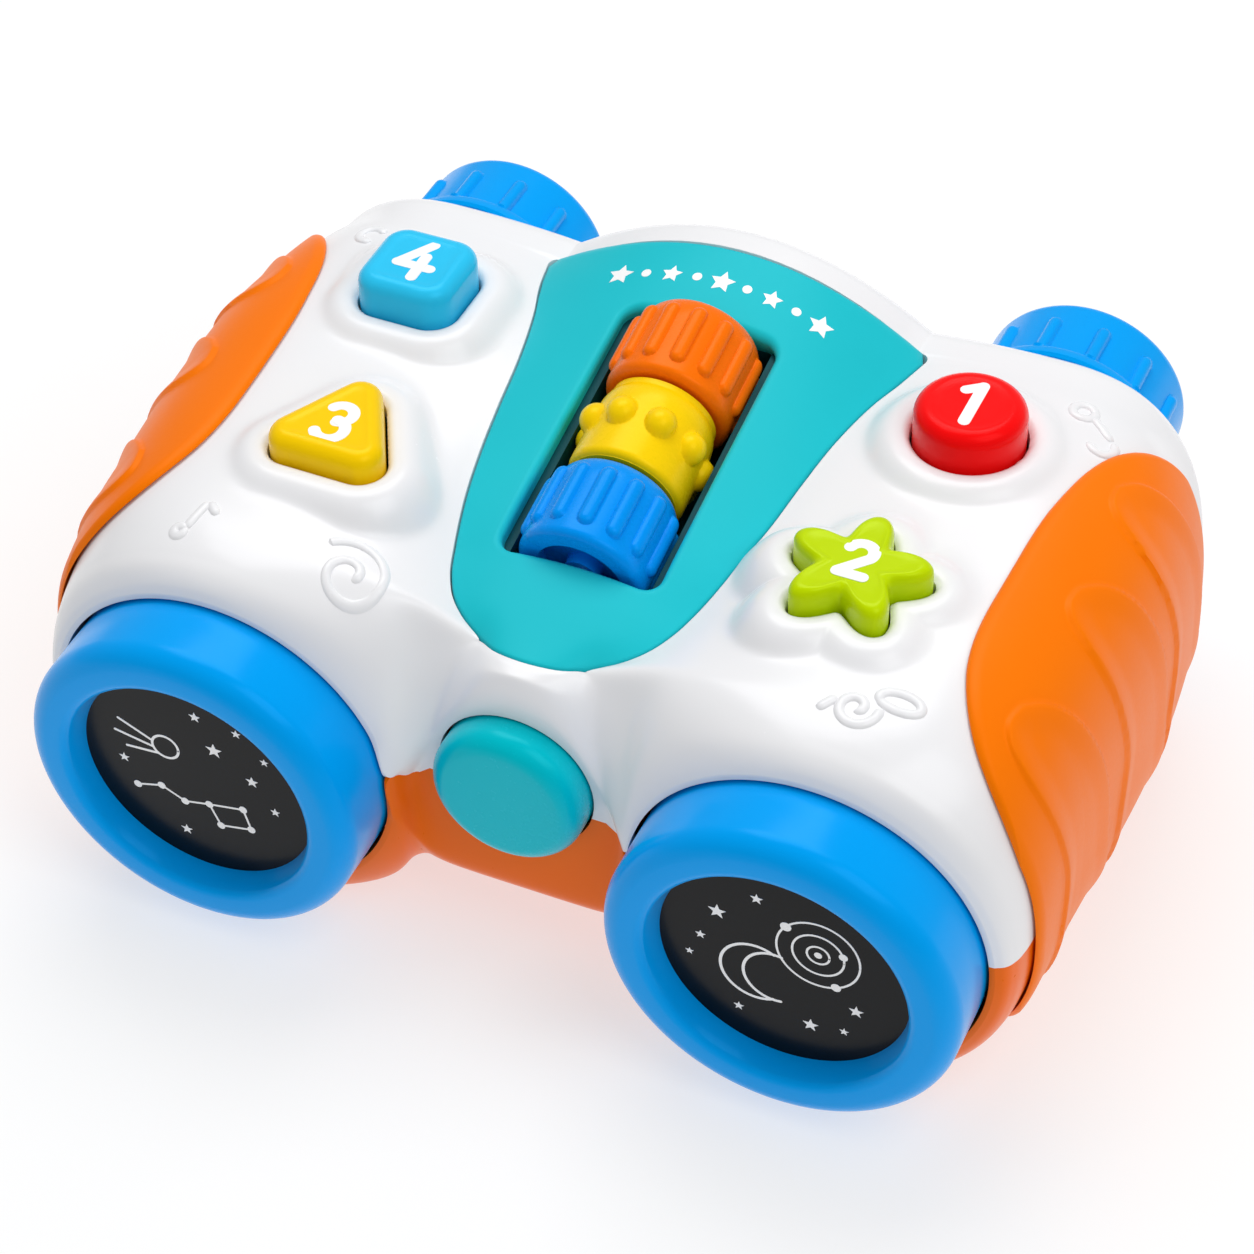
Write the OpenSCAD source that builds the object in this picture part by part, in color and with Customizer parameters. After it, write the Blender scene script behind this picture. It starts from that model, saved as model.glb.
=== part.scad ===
// Toy binoculars: a white upper shell and an orange lower shell with soft side grips, two
// objective rings with printed lenses, two ribbed eyepieces that turn, four shaped buttons,
// a round front button and three rollers on one axle in the sloping centre panel.
// Millimetres, +Z up, objectives towards -Y, origin under the middle of the part.

/* [Overall] */
// Length from the objective rings' front faces to the eyepieces' rear rims
overall_len = 138; // [136:1:146]
// Height of the objective axes above the table
axis_h = 33; // [32.5:0.5:36]
// Distance between the objective axes
objective_pitch = 104; // [102:1:108]
// Distance between the eyepiece axes
eyepiece_pitch = 111; // [108:1:113]
// Height of the eyepiece axes above the objective axes
eyepiece_rise = 16.4; // [16:0.2:18]

/* [Shell] */
// Wall of the moulded shells
shell_wall = 2.4; // [2:0.1:2.8]
// Height of the seam between the shells above the objective axes
seam_rise = 4; // [3:0.5:4.5]
// How far the sides stand outside the objective rings
side_swell = 5; // [4.5:0.5:7]
// How far the top stands above the objective rings
top_swell = 9.5; // [9:0.5:12]
// How far the bridge between the rings sits behind the shell's front lips
bridge_set = 4.5; // [4:0.5:6]
// Rounding of the bridge's front edge
nose_r = 6; // [4:0.5:7]
// Rounding of the shell's rear edge
rear_r = 5; // [4:0.5:5.5]
// Height of the arch under the bridge
arch_h = 11; // [9:0.5:13]
// Half width of the arch's flat top
arch_half_w = 20; // [19.5:0.5:22]

/* [Panel] */
// Distance from the bridge's front to the panel
panel_set = 8; // [7.5:0.5:9]
// Distance from the panel to the shell's rear wall
panel_rear_set = 9; // [8.5:0.5:11]
// Half width of the panel at its rear edge
panel_half_w = 35.5; // [34:0.5:37]
// Thickness of the panel
panel_t = 2; // [1.6:0.1:2.2]
// Height of the panel's crown above the objective axes at its front edge
crown_front = 31; // [30:0.5:32]
// Height of the panel's crown above the objective axes at its rear edge
crown_rear = 49.2; // [47:0.5:51]
// Width of the roller window
window_w = 25; // [24:0.5:27]
// Length of the roller window
window_len = 54; // [53.6:0.2:57]
// Corner radius of the roller window
window_r = 3; // [2:0.5:5]

/* [Objectives] */
// Radius of the blue rings
ring_r = 30; // [29:0.5:31]
// Length of the ring in front of the shell
ring_reach = 13.5; // [12:0.5:16]
// Rounding of the ring's front edge
ring_edge_r = 6; // [4:0.5:6.5]
// Radius of the lens that shows
lens_show_r = 22; // [20:0.5:23]
// Depth of the lens below the ring's front
lens_set = 4.7; // [4:0.1:6]
// Thickness of the printed lens
lens_t = 2; // [1.6:0.1:3]

/* [Eyepieces] */
// Radius over the ribs
eyepiece_r = 19.3; // [18.5:0.1:20]
// Length of an eyepiece behind the shell
eyepiece_len = 18.2; // [17:0.2:19]
// Number of grip ribs
rib_count = 13; // [12:1:24]
// Radius of the sleeve that an eyepiece turns on
sleeve_r = 11.5; // [10.5:0.1:11.6]
// Radius of the eye cup
cup_r = 14.8; // [14.4:0.1:16]

/* [Buttons] */
// Radius of the round button
round_r = 9.4; // [8.5:0.1:10.5]
// Side of the square button
square_w = 17.6; // [16:0.2:19]
// Mean radius of the star button
star_r = 8.8; // [8:0.1:9.6]
// Mean radius of the triangle button
triangle_r = 8.6; // [8:0.1:9.4]
// Distance of the rear buttons from the middle
rear_button_x = 50; // [49:0.5:52]
// Distance of the rear buttons from the ring faces
rear_button_y = 87.3; // [86:0.1:90]
// Distance of the front pair from the middle
fore_button_x = 45.3; // [44.5:0.1:48]
// Distance of the front pair from the ring faces
fore_button_y = 48.4; // [47:0.1:50]
// Travel of every button
travel = 2.5; // [2:0.1:2.7]
// How far the rear buttons stand above the shell
rear_button_up = 8.4; // [7:0.1:10]
// How far the front pair stands above the shell
fore_button_up = 6.2; // [5.5:0.1:8]
// Radius of the front button
front_button_r = 13.3; // [12:0.1:13.6]
// How far the front button stands in front of the bridge
front_button_up = 6; // [5:0.5:8]
// Height of the front button above the objective axes
front_button_rise = 7.6; // [7:0.2:8]
// Height of the raised collar round a button
collar_up = 1.8; // [1:0.1:2.4]
// Width of the raised collar round a button
collar_w = 3.8; // [3:0.1:4.4]

/* [Rollers] */
// Radius of a roller over its flanges
roller_r = 11.5; // [11:0.1:11.8]
// Depth of the roller axle below the panel's crown
axle_drop = 4.5; // [4:0.1:6]
// Radius of the steel axle
axle_r = 1.5; // [1.2:0.1:2]
// Number of ribs on a ribbed roller
roller_ribs = 12; // [9:1:14]
// Number of bumps in each row on the middle roller
roller_bumps = 6; // [5:1:6]

/* [Grips] */
// How far the soft grips stand out of the shell
grip_t = 1.7; // [1.2:0.1:2.2]
// Clear gap under a grip
grip_gap = 0.5; // [0.45:0.05:0.6]
// Length of a grip
grip_len = 87.5; // [80:0.5:88]
// Distance from the shell's front lip to a grip
grip_set = 7; // [6:0.5:9]
// Angle that a grip reaches up the side
grip_up_deg = 79; // [70:1:82]
// Angle that a grip reaches under the side
grip_down_deg = 52; // [40:1:60]

/* [Fits] */
// Gap round a piece that slides or turns by hand
slide_fit = 0.45; // [0.3:0.05:0.5]
// Gap round a piece that is fixed in a pocket
seat_fit = 0.25; // [0.15:0.05:0.3]
// Gap between the objective rings and the shell's lips
lip_fit = 0.6; // [0.5:0.05:0.7]
// Radial gap of a turning fit
turn_fit = 0.09; // [0.05:0.01:0.1]

/* [Electrics] */
// Radius of an AA cell
cell_r = 7.2; // [7:0.05:7.25]
// Length of an AA cell
cell_len = 50.4; // [49.5:0.1:50.5]
// Thickness of a circuit board
board_t = 1.6; // [1.2:0.2:2]
// Radius of the loudspeaker
speaker_r = 16; // [14:0.5:17]
// Travel of the power switch to each side
switch_travel = 4; // [3:0.5:4]

/* [Hidden] */
$fn = 64;

// One overrun that serves every cut
cut = 1;

// Places along the part, counted back from the ring faces
lip_y = ring_reach;
bridge_y = lip_y + bridge_set;
eyepiece_gap = 0.3;
rear_y = overall_len - eyepiece_len - eyepiece_gap;
panel_y0 = bridge_y + panel_set;
panel_y1 = rear_y - panel_rear_set;
groove = 0.25;
body_len = rear_y - lip_y;
panel_len = panel_y1 - panel_y0;

// Rounded plan shares: place along the shell, share of the side swell, share of the top swell
// and the squareness of the section
barrel_shares = [
    [0, 0.3, 0.16, 2], [0.0075, 0.58, 0.33, 2], [0.024, 0.8, 0.53, 2.1],
    [0.047, 0.92, 0.66, 2.2], [0.08, 0.98, 0.77, 2.35], [0.116, 1, 0.84, 2.55],
    [0.184, 1, 0.9, 2.9], [0.297, 1, 0.96, 3.2], [0.44, 1, 1, 3.4], [0.627, 0.9, 1.08, 3.4],
    [0.769, 0.56, 1.08, 3.1], [0.863, 0.2, 1.01, 2.9], [0.92, -0.1, 0.93, 2.7], [1, -0.2, 0.9, 2.6]];

// Panel outline shares: place along the panel, share of its half width and share of the rear
// crown height that its edge has
panel_shares = [
    [0, 0.26, 0.585], [0.024, 0.35, 0.59], [0.062, 0.455, 0.605], [0.116, 0.537, 0.62],
    [0.18, 0.592, 0.636], [0.295, 0.666, 0.679], [0.417, 0.723, 0.711], [0.537, 0.763, 0.742],
    [0.666, 0.806, 0.762], [0.807, 0.88, 0.77], [0.886, 0.94, 0.77], [1, 1, 0.758]];

// Rows of the front lip, as shares of the way from the lip to the panel
lip_row_shares = [0, 0.065, 0.2, 0.4, 0.69, 1];
// Where the barrels start and stop drifting out to the eyepieces, as shares of the shell
drift_shares = [0.25, 0.92];
// Columns across the shell, from its middle to its side
panel_cols = 5;
mid_cols = 6;
side_cols = 8;
half_cols = panel_cols + 1 + mid_cols + side_cols;
lip_cols = len(lip_row_shares) - 1;
// Setback of the bridge's corner from the ring opening
bridge_corner = 3;
// Shares of its height that the bridge's corner has reached at each row of the front lip
corner_rise_shares = [0, 0.18, 0.42, 0.69, 0.92, 1];
// Tuck of the shell's sides round the rear edge
rear_tuck = 6;
// Share of the way from the arch to a barrel's middle that the underside takes to reach the feet
arch_flow_share = 0.5;
// Share of the upper section's squareness that the lower section keeps
low_square_share = 0.25;
// Depth of the lower section as a share of the axis height, before the feet are cut flat
low_depth_share = 1.04;

// Small sizes of the pieces, each beside the piece that carries it
// Button flanges and stems
flange_t = 1.6;
flange_r = 11.2;
flange_drop = 3;
stem_r = 3;
stem_z = 29.5;
// Button edges and corners
edge_in_share = 0.86;
edge_h = 1.6;
square_edge_r = 4.6;
triangle_edge_r = 4.2;
star_arm_share = 0.27;
collar_sink_share = 0.6;
// Switches and boards
switch_w = 6;
switch_h = 3.6;
plunger_r = 1.7;
plunger_h = 1.2;
press_gap = 0.3;
board_x = 48;
board_y = 68;
board_w = 25;
board_len = 60;
board_screw_half = 8.5;
board_z = stem_z - travel - press_gap - plunger_h - switch_h - board_t;
front_flange_gap = 1.2;
front_flange_y = bridge_y + shell_wall + front_flange_gap;
front_flange_lap = 0.7;
front_flange_r = front_button_r + slide_fit + front_flange_lap;
front_edge_r = 3.4;
front_stem_len = 5.4;
front_stem_y = front_flange_y + front_stem_len;
front_board_y = front_stem_y + travel + press_gap + plunger_h + switch_h;
front_board_w = 26;
front_board_h = 36;
guide_w = 3;
guide_t = 1.6;
guide_h = 8;
// Springs
coil_r = 6.8;
wire_t = 0.7;
// Screws, bosses and posts
screw_r = 1;
screw_head_r = 2.6;
screw_head_t = 1.6;
screw_bite = 12;
screw_sink = 9;
pilot_r = 1.15;
boss_r = 3.6;
post_r = 2.6;
board_screw_bite = 5;
board_head_t = 1.4;
case_in_x = 30.6;
case_out_x = 65;
case_front_y = 32;
case_rear_y = 102;
// Raised marks on the upper shell
mark_r = 1.1;
mark_sink_share = 0.45;
swirl_x = 32;
swirl_y = 29;
swirl_r = 5.5;
swirl_turns = 1.75;
swirl_steps = 12;
curl_x = 57;
curl_y = 28;
curl_r = 4.5;
note_front_x = 60;
note_front_y = 28;
note_rear_x = 67;
note_rear_y = 103;
note_h = 8;
// Roller cradle
window_shift = 0.5;
window_y = (panel_y0 + panel_y1) / 2 + window_shift;
tilt = atan((crown_rear - crown_front) / panel_len);
cradle_wall = 2;
cradle_fit = 0.3;
cradle_w = window_w + 2 * cradle_wall;
cradle_len = window_len + 2 * cradle_wall;
cradle_depth = axle_drop + roller_r + slide_fit + 2 * cradle_wall;
cradle_rim_gap = 1.8;
cradle_rim_drop = panel_t + cradle_rim_gap;
cradle_flange_drop = 10;
cradle_flange_w = 3;
cradle_screw_x = 18.4;
cradle_screw_y = 22;
cradle_post_set = 1;
cradle_bite = 3.6;
ear_r = 3.6;
cradle_spots = [for (x = [-1, 1], y = [-1, 1]) [x * cradle_screw_x, y * cradle_screw_y]];
// Rollers
roller_gap = 0.6;
roller_len = (window_len - 4 * roller_gap) / 3;
rim_w = 2.2;
rim_step = 1;
barrel_step = 1.6;
roller_rib_r = 1.5;
bump_r = 3;
bump_place_share = 0.2;
// Objective rings and lamps
lens_gap = 0.05;
pocket_lap = 3;
pocket_r = lens_show_r + pocket_lap;
ring_flange_lap = 0.7;
ring_flange_r = ring_r + lip_fit + ring_flange_lap;
ring_tail_gap = 1.6;
ring_tail_y = bridge_y + shell_wall + ring_tail_gap;
ring_flange_t = 2.2;
lip_bevel_share = 0.4;
ring_face_r = ring_r - ring_edge_r;
reflector_y = lens_set + lens_t + 2 * lens_gap;
reflector_len = ring_tail_y - reflector_y;
reflector_wall = 1.5;
led_r = 2.5;
led_len = 8;
led_board_r = 9;
// Eyepieces
eye_base_lap = 0.8;
base_r = eyepiece_r + eye_base_lap;
base_t = 3;
rib_step = 1.1;
body_r = eyepiece_r - rib_step;
eye_rib_r = 1.5;
eye_edge_r = 2.2;
cup_depth = 8;
cup_y = eyepiece_len - cup_depth;
rim_in = 1.2;
head_gap = 1.2;
head_r = cup_r - head_gap;
head_t = 1.5;
eye_lens_t = 1.6;
sleeve_wall = 2;
sleeve_tail = 1;
clip_t = 3;
clip_w = 3.2;
sleeve_y0 = rear_y - shell_wall - clip_t - sleeve_tail;
head_y = rear_y + 2 * eyepiece_gap + cup_y;
// Battery tray, cells and door
tray_wall = 1.8;
cell_fit = 0.4;
contact_t = 0.5;
contact_w = 9;
contact_room = 1.6;
door_t = 2;
cell_x = cell_r + cell_fit / 2;
tray_mid_y = 72;
tray_in_w = 4 * cell_r + 3 * cell_fit;
tray_in_len = cell_len + 2 * contact_room;
tray_z0 = arch_h - axis_h + shell_wall + seat_fit;
cell_z = arch_h - axis_h + door_t + cell_fit + cell_r;
tray_z1 = cell_z + cell_r + cell_fit;
tip_r = 2.7;
tip_h = 1;
door_screw_in = 2.4;
door_screw_len = 4.2;
door_post_w = 4;
door_post_h = 2;
door_head_t = 1.2;
// Loudspeaker
speaker_y = 70;
speaker_lift = 1.7;
speaker_rim_t = 1.6;
basket_h = 7;
basket_wall = 1;
magnet_r = 9;
magnet_h = 5;
cone_t = 0.6;
slot_count = 9;
slot_step = 3.2;
slot_field_r = 14;
slot_r = 0.9;
// Power switch
switch_y = 108;
knob_w = 5;
knob_d = 4;
knob_up = 2.4;
switch_case_d = 8;
switch_case_h = 6;
switch_slot_h = 3;
switch_case_w = 2 * (switch_travel + knob_w);

function lerp(a, b, t) = a + (b - a) * t;
function limit(t) = max(0, min(1, t));
function share_at(table, k, s) = lookup(s, [for (row = table) [row[0], row[k]]]);
function body_share(y) = limit((y - lip_y) / body_len);
function barrel_w(y) = ring_r + side_swell * share_at(barrel_shares, 1, body_share(y));
function barrel_top(y) = ring_r + top_swell * share_at(barrel_shares, 2, body_share(y));
function barrel_pow(y) = share_at(barrel_shares, 3, body_share(y));
function barrel_x(y) = lerp(objective_pitch, eyepiece_pitch,
    limit((body_share(y) - drift_shares[0]) / (drift_shares[1] - drift_shares[0]))) / 2;
function panel_share(y) = limit((y - panel_y0) / panel_len);
function panel_w(y) = panel_half_w * share_at(panel_shares, 1, panel_share(y));
function panel_edge_z(y) = crown_rear * share_at(panel_shares, 2, panel_share(y));
function crown_z(y) = lerp(crown_front, crown_rear, panel_share(y));
function panel_z(x, y) = crown_z(y) - (crown_z(y) - panel_edge_z(y)) * pow(x / panel_w(y), 2);
function super_z(u, w, h, n) = h * pow(max(0, 1 - pow(abs(u) / w, n)), 1 / n);
function rise(t) = t * (2 - t);
function smooth(t) = t * t * (3 - 2 * t);

// Height of the upper shell over a place beside the panel
function shell_top(x, y) = let (cx = barrel_x(y), xe = panel_w(y), m = limit((abs(x) - xe) / (cx - xe)))
    abs(x) < cx ? lerp(panel_edge_z(y), barrel_top(y), rise(m))
                : super_z(abs(x) - cx, barrel_w(y), barrel_top(y), barrel_pow(y));

// A row of the shells: place of the barrels, place of the bridge, how far the bridge and the
// barrels have risen from the seam, tuck of the sides, and whether the panel's seat is there
front_rows = [for (k = [0 : lip_cols]) let (a = k == 0 ? -1 : min(3, k - 1) * 30,
        back = k == lip_cols ? panel_set - groove : k == 0 ? 0 : nose_r * (1 - cos(a)),
        up = k == 0 ? 0 : 1 - nose_r * (1 - sin(a)) / (crown_front - seam_rise))
    [lerp(lip_y, panel_y0 - groove, lip_row_shares[k]), bridge_y + back, up, 1, 0, 0]];
panel_rows = [for (row = panel_shares) let (y = lerp(panel_y0, panel_y1, row[0])) [y, y, 1, 1, 0, 1]];
rear_rows = concat([[panel_y1 + groove, panel_y1 + groove, 1, 1, 0, 0]],
    [for (a = [0, 30, 60, 90]) let (y = rear_y - rear_r * (1 - sin(a)),
            up = 1 - rear_r * (1 - cos(a)) / (barrel_top(rear_y) - seam_rise))
        [y, y, up, up, rear_tuck * (1 - cos(a)), 0]],
    [[rear_y, rear_y, 0, 0, rear_tuck + groove, 0]]);
rows = concat(front_rows, panel_rows, rear_rows);
row_count = len(rows);
front_count = len(front_rows);
rear_start = front_count + len(panel_rows) + 1;

// Half width of the ring opening where it meets the seam
function seam_deg(r) = asin(seam_rise / r);

// A point of a shell: column c from the middle out, row r, inset w from the outer skin.
// The side says which shell: 1 for the upper and -1 for the lower.
function shell_point(c, r, w, side) = let (
    row = rows[r],
    in_lip = w > 0 && r < front_count - 3,
    ys = w > 0 && r >= rear_start ? row[0] - w : row[0],
    ym = w > 0 && r >= rear_start ? row[1] - w
        : r < front_count ? lerp(row[1] + w, row[1], (row[1] - bridge_y) / panel_set) : row[1],
    along = limit((row[0] - lip_y) / (panel_y0 - groove - lip_y)),
    blend = in_lip || r == 0 ? 0 : w > 0 ? along * along : along,
    cx = barrel_x(ys),
    wide = (in_lip ? ring_r + lip_fit : barrel_w(ys) - w) - row[4],
    high = in_lip ? ring_r + lip_fit : barrel_top(ys) - w,
    low = in_lip || r == 0 ? high : lerp(high, axis_h * low_depth_share - w, blend),
    n = in_lip ? 2 : barrel_pow(ys),
    n_low = 2 + (n - 2) * low_square_share,
    sole_z = w - axis_h,
    seam_x = cx - wide * cos(seam_deg(wide)) - bridge_corner,
    edge_w = side > 0 ? panel_w(ys) : arch_half_w - w,
    xe = lerp(seam_x, edge_w, along),
    seat = side > 0 ? (w > 0 ? w + panel_t : panel_t * row[5]) : 0,
    ze = side > 0 ? panel_edge_z(ys) : arch_h - axis_h + w,
    corner = side > 0 && r < front_count ? corner_rise_shares[r] : row[2],
    lift = function (z, f) seam_rise + (z - seam_rise) * f)
    c <= panel_cols ? let (q = c / panel_cols, x = q * xe)
        [x, ym, lift(side > 0 ? lerp(crown_z(ys), ze, q * q) - seat : ze, lerp(row[2], corner,
            pow(q, 4)))]
    : c == panel_cols + 1 ? [xe + groove, ym, lift(side > 0 ? ze - (w > 0 ? seat : 0) : ze, corner)]
    : c <= panel_cols + 1 + mid_cols ? let (
        k = c - panel_cols - 1,
        m = k / mid_cols,
        a = lerp(side * seam_deg(wide), 90, (k - 1) / (mid_cols - 1)),
        x = cx - lerp(wide * cos(a), (cx - xe) * (1 - m), blend),
        round_z = lift(side > 0 ? super_z(x - cx, wide, high, n)
                                : max(sole_z, -super_z(x - cx, wide, low, n_low)), row[3]),
        foot = side > 0 ? high : max(sole_z, -low),
        edge_z = lift(side > 0 ? ze - (w > 0 ? seat * (1 - m) : 0) : ze, row[2]),
        flow_z = lerp(edge_z, lift(foot, row[3]), side > 0 ? rise(m)
            : smooth(limit(m / arch_flow_share))))
        [x, ys, side < 0 ? (k == 1 && blend == 0 ? seam_rise : lerp(round_z, flow_z, blend))
                         : (k == 1 && blend == 0 ? seam_rise : max(seam_rise, lerp(round_z, flow_z,
                             blend)))]
    : let (
        k = c - panel_cols - 1 - mid_cols,
        low_a = asin(pow(seam_rise / high, n / 2)),
        a = side > 0 ? lerp(90, low_a, k / side_cols) : 90 * (1 - k / (side_cols - 1)),
        rim_x = cx + wide * pow(cos(low_a), 2 / n))
        side > 0 ? [cx + wide * pow(cos(a), 2 / n), ys,
            k == side_cols ? seam_rise : lift(high * pow(sin(a), 2 / n), row[3])]
        : k == side_cols ? [rim_x, ys, seam_rise]
        : k == side_cols - 1 && row[3] == 0 ? [rim_x - groove, ys, seam_rise]
        : [cx + wide * pow(cos(a), 2 / n_low), ys,
            lift(max(sole_z, -low * pow(sin(a), 2 / n_low)), row[3])];

// The whole width of one row, mirrored about the middle
function shell_row(r, w, side) = [for (c = [-half_cols : half_cols])
    let (p = shell_point(abs(c), r, w, side)) [c < 0 ? -p[0] : p[0], p[1], p[2]]];

// A closed wall between two sheets of points with the same rows and columns
module sheet_wall(outer, inner) {
    nr = len(outer);
    nc = len(outer[0]);
    points = concat([for (row = outer) each row], [for (row = inner) each row]);
    at = function (s, r, c) s * nr * nc + r * nc + c;
    rim = concat([for (c = [0 : nc - 1]) [0, c]], [for (r = [1 : nr - 1]) [r, nc - 1]],
        [for (c = [nc - 2 : -1 : 0]) [nr - 1, c]], [for (r = [nr - 2 : -1 : 1]) [r, 0]]);
    skins = [for (s = [0, 1], r = [0 : nr - 2], c = [0 : nc - 2], half = [0, 1])
        let (tri = half == 0 ? [at(s, r, c), at(s, r + 1, c), at(s, r + 1, c + 1)]
                             : [at(s, r, c), at(s, r + 1, c + 1), at(s, r, c + 1)])
        s == 0 ? tri : [tri[0], tri[2], tri[1]]];
    edges = [for (k = [0 : len(rim) - 1], half = [0, 1]) let (a = rim[k], b = rim[(k + 1) % len(rim)],
            oa = at(0, a[0], a[1]), ob = at(0, b[0], b[1]), ia = at(1, a[0], a[1]), ib = at(1, b[0],
                b[1]))
        half == 0 ? [oa, ob, ib] : [oa, ib, ia]];
    polyhedron(points, concat(skins, edges));
}

module shell_wall_form(side) {
    outer = [for (r = [0 : row_count - 1]) shell_row(r, 0, side)];
    inner = [for (r = [0 : row_count - 1]) shell_row(r, shell_wall, side)];
    if (side > 0) sheet_wall(outer, inner);
    else sheet_wall(inner, outer);
}

// Sets a piece drawn about the objective axes on the table
module placed() translate([0, -overall_len / 2, axis_h]) children();
module along_y() rotate([-90, 0, 0]) children();

// Buttons: kind, place across, place along and height above the shell
rear_places = [rear_button_x, rear_button_y, rear_button_up];
fore_places = [fore_button_x, fore_button_y, fore_button_up];
buttons = [["round", rear_places[0], rear_places[1], rear_places[2]],
    ["star", fore_places[0], fore_places[1], fore_places[2]],
    ["triangle", -fore_places[0], fore_places[1], fore_places[2]],
    ["square", -rear_places[0], rear_places[1], rear_places[2]]];
function button_shell_z(b) = shell_top(b[1], b[2]);
function button_top_z(b) = button_shell_z(b) + b[3];
function flange_z(b) = button_shell_z(b) - shell_wall - flange_drop - flange_t;

// Outline helpers: a polygon with round corners, and a soft five-armed star
function round_corners(n, reach, r, turn) = [for (k = [0 : n - 1], a = [-180 / n : 60 / n : 180 / n])
    let (c = turn + k * 360 / n) [reach * cos(c) + r * cos(c + a), reach * sin(c) + r * sin(c + a)]];
function star_points(r, grow) = [for (a = [0 : 6 : 354])
    let (d = r * (1 + star_arm_share * cos(5 * (a - 90))) + grow) [d * cos(a), d * sin(a)]];
module button_outline(kind, grow) {
    if (kind == "round") circle(round_r + grow);
    if (kind == "square")
        polygon(round_corners(4, (square_w / 2 - square_edge_r) * sqrt(2), square_edge_r + grow, 45));
    if (kind == "triangle")
        polygon(round_corners(3, triangle_r, triangle_edge_r + grow, 90));
    if (kind == "star") polygon(star_points(star_r, grow));
}

// Upper shell with its button holes, collars, roller window, raised marks and bosses
window_z = crown_z(window_y);
module tilted() translate([0, window_y, window_z]) rotate([tilt, 0, 0]) children();
module block(size, low) translate([-size[0] / 2, -size[1] / 2, low]) cube(size);

// Places of the case screws and of the board screws, on the right half
case_spots = [[case_in_x, case_front_y], [case_in_x, case_rear_y], [case_out_x, case_rear_y]];
board_spots = [[board_x - board_screw_half, board_y], [board_x + board_screw_half, board_y]];
function roof_z(x, y) = (x < panel_w(y) ? panel_edge_z(y) - panel_t : shell_top(x, y)) - shell_wall / 2;
function floor_z(x) = lerp(arch_h - axis_h, -axis_h,
    smooth(limit((x - arch_half_w) / (objective_pitch / 2 - arch_half_w) / arch_flow_share)));

// A raised line on the shell's skin through places given as shares of its own size
module raised_line(points) {
    for (k = [0 : len(points) - 2]) hull() for (p = [points[k], points[k + 1]])
        translate([p[0], p[1], shell_top(p[0], p[1]) - mark_r * mark_sink_share]) sphere(mark_r, $fn = 8);
}
function swirl(x, y, r) = [for (k = [0 : swirl_steps]) let (t = k / swirl_steps,
    a = 360 * swirl_turns * t)
    [x + r * t * cos(a), y + r * t * sin(a)]];
// A note: a stem with a short flag, in shares of its height
note_shares = [[-0.15, 0], [0.1, 0.05], [0.1, 1], [0.4, 0.75]];
function note_mark(x, y, h) = [for (p = note_shares) [x + h * p[0], y + h * p[1]]];

module upper_shell() color("white") placed() {
    difference() {
        union() {
            shell_wall_form(1);
            for (b = buttons) translate([b[1], b[2], button_shell_z(b) - shell_wall * collar_sink_share])
                linear_extrude(shell_wall * collar_sink_share + collar_up) button_outline(b[0],
                    slide_fit + collar_w);
            for (x = [-1, 1], p = case_spots) translate([x * p[0], p[1], seam_rise])
                cylinder(roof_z(p[0], p[1]) - seam_rise, boss_r, boss_r, $fn = 24);
            for (x = [-1, 1], p = board_spots) translate([x * p[0], p[1], board_z + board_t])
                cylinder(roof_z(p[0], p[1]) - board_z - board_t, post_r, post_r, $fn = 20);
            for (p = cradle_spots) tilted() translate([p[0], p[1], -cradle_flange_drop])
                cylinder(cradle_flange_drop - panel_t - shell_wall - cradle_post_set, post_r, post_r,
                    $fn = 20);
            raised_line(swirl(-swirl_x, swirl_y, swirl_r));
            raised_line(swirl(curl_x, curl_y, curl_r));
            raised_line(note_mark(-note_front_x, note_front_y, note_h));
            raised_line(note_mark(note_rear_x, note_rear_y, note_h));
        }
        for (b = buttons) translate([b[1], b[2], flange_z(b)])
            linear_extrude(b[3] + button_shell_z(b)) button_outline(b[0], slide_fit);
        tilted() block([cradle_w + 2 * cradle_fit, cradle_len + 2 * cradle_fit, cradle_depth],
            cut - cradle_depth);
        front_button_bore();
        for (x = [-1, 1]) translate([x * eyepiece_pitch / 2, rear_y - shell_wall - cut, eyepiece_rise])
            along_y() cylinder(shell_wall + 2 * cut, sleeve_r + seat_fit, sleeve_r + seat_fit, $fn = 40);
        for (x = [-1, 1], p = case_spots) translate([x * p[0], p[1], seam_rise - cut])
            cylinder(screw_bite + cut, pilot_r, pilot_r, $fn = 16);
        for (x = [-1, 1], p = board_spots) translate([x * p[0], p[1], board_z])
            cylinder(board_t + board_screw_bite, pilot_r, pilot_r, $fn = 16);
        for (p = cradle_spots) tilted() translate([p[0], p[1], -cradle_flange_drop - cut])
            cylinder(cradle_bite + cut, pilot_r, pilot_r, $fn = 16);
    }
}
module front_button_bore()
    translate([0, bridge_y - cut, front_button_rise]) along_y()
        cylinder(shell_wall + 2 * cut, front_button_r + slide_fit, front_button_r + slide_fit, $fn = 48);

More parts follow.
